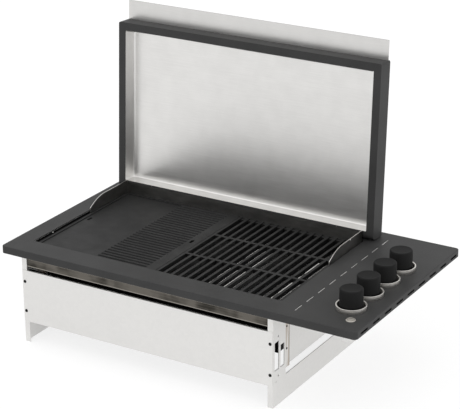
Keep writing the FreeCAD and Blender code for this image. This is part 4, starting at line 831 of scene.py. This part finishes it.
def liner_pan(width, height):
    """A pan that faces +Z, with the middle of its flange's lower edge at the origin and Y up the lid."""
    shape = bmesh.new()
    bmesh.ops.create_grid(shape, x_segments=1, y_segments=1, size=0.5)
    bmesh.ops.scale(shape, verts=shape.verts, vec=(width, height, 1))
    bmesh.ops.translate(shape, verts=shape.verts, vec=(0, height / 2, 0))
    mouth = shape.faces[:]
    bmesh.ops.inset_region(shape, faces=mouth, thickness=PAN_FLANGE, use_boundary=True,
                           use_even_offset=True)
    mouth_foot = sorted(mouth[0].verts, key=lambda corner: corner.co.y)[:2]
    bmesh.ops.translate(shape, verts=mouth_foot, vec=(0, PAN_LOW_FLANGE - PAN_FLANGE, 0))
    pushed = bmesh.ops.extrude_face_region(shape, geom=mouth)["geom"]
    bmesh.ops.delete(shape, geom=mouth, context="FACES_ONLY")
    sheet = [part for part in pushed if isinstance(part, bmesh.types.BMFace)][0]
    centre = sheet.calc_center_median()
    wide = 1 - 2 * PAN_DRAFT / (width - 2 * PAN_FLANGE)
    high = 1 - 2 * PAN_DRAFT / (height - PAN_FLANGE - PAN_LOW_FLANGE)
    bmesh.ops.scale(shape, verts=sheet.verts, vec=(wide, high, 1), space=Matrix.Translation(-centre))
    bmesh.ops.translate(shape, verts=sheet.verts, vec=(0, 0, -PAN_DEPTH))
    sheet_foot = sorted(sheet.verts, key=lambda corner: corner.co.y)[:2]
    bmesh.ops.translate(shape, verts=sheet_foot, vec=(0, PAN_LOW_DRAFT - PAN_DRAFT, 0))
    folds = list({edge for corner in sheet.verts for edge in corner.link_edges})
    bmesh.ops.bevel(shape, geom=folds, offset=PAN_FOLD, affect="EDGES", segments=PAN_FOLD_STEPS,
                    profile=0.5, material=-1)
    bmesh.ops.recalc_face_normals(shape, faces=shape.faces)
    bmesh.ops.solidify(shape, geom=shape.faces[:], thickness=PAN_SHEET)
    return shape


print("walls slant by", PAN_DRAFT, "mm, and the lower one by", PAN_LOW_DRAFT, "mm")

# %% [markdown]
# The pan goes where the frame has the liner and is tilted as the lid is. It is deep enough for the wind
# guards when the lid is shut, and its foot stays above the hinge brackets, which turn inside the lid.
# Weighted normals keep the big sheet flat to the eye, so that only the folds bend reflections.

# %% Inner pan
LID_TILT, PAN_FOOT = 3.0, 4.5
pan_low, pan_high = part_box("lid_liner")
tilt = math.radians(LID_TILT)
pan_height = (pan_high.z - pan_low.z) / math.cos(tilt) / MM - PAN_FOOT
up_the_lid = Vector((0, math.sin(tilt), math.cos(tilt)))
pan_place = Vector(((pan_low.x + pan_high.x) / 2, pan_low.y, pan_low.z)) + up_the_lid * PAN_FOOT * MM
pan = placed(liner_pan((pan_high.x - pan_low.x) / MM, pan_height), pan_place,
             Matrix.Rotation(math.radians(90) - tilt, 3, "X"))
inner_pan = new_piece("inner_pan", [pan], "lid", "stainless_steel", "lid_liner")
flat_sheets = inner_pan.modifiers.new("flat_sheets", "WEIGHTED_NORMAL")
flat_sheets.keep_sharp = True
print("pan", [round(side / MM, 1) for side in pan_low], [round(side / MM, 1) for side in pan_high])

# %% [markdown]
# ## Rivets
# Two small domed rivets show as bright dots: one on the collar to the left of the hotplate and one near the
# top of the right-hand guard. Each sits on the sheet it goes through, with its dome facing right.

# %% Rivets
RIVET_R, RIVET_H, RIVET_STEPS = 2.2, 1.3, 24
RIVET_OUTLINE = [(0, RIVET_H, 0), (1.3, RIVET_H - 0.1, 0.8), (RIVET_R, 0, 0.2), (0, 0, 0)]
COLLAR_FROM_PLATE, COLLAR_RIVET_Y, COLLAR_RIVET_Z = 2.1 * MM, -0.137, 0.2562
GUARD_RIVET_Y, GUARD_RIVET_DROP = 0.137, 3.0 * MM
guard_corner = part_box("right_side_guard")[1]
rivet_places = (
    (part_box("hotplate")[0].x - COLLAR_FROM_PLATE, COLLAR_RIVET_Y, COLLAR_RIVET_Z),
    (guard_corner.x, GUARD_RIVET_Y, guard_corner.z - GUARD_RIVET_DROP),
)
to_right = Matrix.Rotation(math.radians(90), 3, "Y")
rivets = [placed(turned(RIVET_OUTLINE, steps=RIVET_STEPS), place, to_right) for place in rivet_places]
new_piece("rivets", rivets, "chassis", "chrome")

# %% [markdown]
# ## The studio
# A plain white studio has an even world, two soft lamps and a floor. The camera and mirror-like metal see a
# white backdrop. As a light the world is a little weaker, which leaves room for the lamps.

# %% World
WHITE, WORLD_LIGHT = "#ffffff", 0.88


def sees_backdrop(tree):
    """1 for rays that look at the backdrop straight, in a mirror or through glass, and 0 for other light."""
    seen = add(tree, "LightPath", out="Is Camera Ray")
    for kind in ("Is Glossy Ray", "Is Transmission Ray"):
        seen = add(tree, "Math", {0: seen, 1: add(tree, "LightPath", out=kind)}, operation="MAXIMUM")
    return seen


def studio_world():
    """An even white world, a little weaker as a light than as a backdrop."""
    world = bpy.data.worlds.new("white_studio")
    bpy.context.scene.world = world
    world.use_nodes = True
    tree = world.node_tree
    tree.nodes.clear()
    light = add(tree, "Background", {"Color": linear(WHITE), "Strength": WORLD_LIGHT})
    white = add(tree, "Background", {"Color": linear(WHITE), "Strength": 1.0})
    mixed = add(tree, "MixShader", {0: sees_backdrop(tree), 1: light, 2: white})
    wire(tree, tree.nodes.new("ShaderNodeOutputWorld"), {"Surface": mixed})


studio_world()
print("world:", bpy.context.scene.world.name)

# %% [markdown]
# A soft lamp stands above the front left and a weaker one on the right. They are very large and weak, so
# that their own mirror images don't burn out on the bright metal.

# %% Lamps
LAMP_AIM = (0, 0, 0.3)


def soft_lamp(name, place, size, power):
    """A round lamp of so many metres and watts, aimed at the middle of the grill."""
    lamp = bpy.data.lights.new(name, "AREA")
    lamp.shape = "DISK"
    lamp.size = size
    lamp.energy = power
    made = bpy.data.objects.new(name, lamp)
    made.location = place
    made.rotation_euler = (Vector(LAMP_AIM) - Vector(place)).to_track_quat("-Z", "Y").to_euler()
    bpy.context.scene.collection.objects.link(made)


soft_lamp("key_lamp", place=(-2.4, -2.8, 3.6), size=8.0, power=34)
soft_lamp("fill_lamp", place=(3.4, -1.6, 2.2), size=6.0, power=22)

# %% [markdown]
# The floor could be plain white paper, but paper is always greyer than the light that falls on it. So rays
# that look at it see a sheet with a glow of its own, which is nearly as white as the backdrop and keeps a
# soft shadow. Other light bounces off plain paper.

# %% Floor
PAPER, SHADED = "#e6e6e6", "#8c8c8c"
FLOOR_SIZE, FLOOR_GLOW = 14.0, 0.8


def studio_floor():
    """A sheet of paper, which rays that look at it see as white with a soft shadow."""
    shape = bmesh.new()
    bmesh.ops.create_grid(shape, x_segments=1, y_segments=1, size=FLOOR_SIZE / 2)
    mesh = bpy.data.meshes.new("floor")
    shape.to_mesh(mesh)
    shape.free()
    made = bpy.data.objects.new("floor", mesh)
    bpy.context.scene.collection.objects.link(made)
    material, tree, shader, _ = new_material("white_paper")
    tree.nodes.remove(shader)
    paper = add(tree, "BsdfDiffuse", {"Color": linear(PAPER)})
    shaded = add(tree, "BsdfDiffuse", {"Color": linear(SHADED)})
    glow = add(tree, "Emission", {"Color": linear(WHITE), "Strength": FLOOR_GLOW})
    lit = add(tree, "AddShader", {0: shaded, 1: glow})
    mixed = add(tree, "MixShader", {0: sees_backdrop(tree), 1: paper, 2: lit})
    wire(tree, tree.nodes["Material Output"], {"Surface": mixed})
    mesh.materials.append(material)


studio_floor()
print("floor", FLOOR_SIZE, "m across")

# %% [markdown]
# ## The camera
# The photograph was taken from the right, a little above, with a long lens: the lines of the panel hardly
# converge. These angles put the panel's corners where the photograph has them.

# %% Camera
AZIMUTH = 31.2
ELEVATION = 21.6
ROLL = -0.4
DISTANCE = 4.4028
LENS = 138.8
AIM = Vector((-0.0067, 0.0154, 0.3674))


def photo_camera():
    """A camera at its angles and distance round the aim, rolled about its own axis."""
    turn = math.radians(AZIMUTH)
    lift = math.radians(ELEVATION)
    back = Vector((math.sin(turn) * math.cos(lift), -math.cos(turn) * math.cos(lift), math.sin(lift)))
    right = Vector((math.cos(turn), math.sin(turn), 0))
    axes = Matrix((right, back.cross(right), back)).transposed()
    lens = bpy.data.cameras.new("photo_camera")
    lens.sensor_fit = "HORIZONTAL"
    lens.lens = LENS
    made = bpy.data.objects.new("photo_camera", lens)
    tilt = Matrix.Rotation(math.radians(ROLL), 3, "Z")
    made.matrix_world = Matrix.Translation(AIM + back * DISTANCE) @ (axes @ tilt).to_4x4()
    bpy.context.scene.collection.objects.link(made)
    bpy.context.scene.camera = made
    return made


camera = photo_camera()
bpy.context.scene.view_settings.view_transform = "Standard"
print("camera at", [round(value, 3) for value in camera.matrix_world.translation])
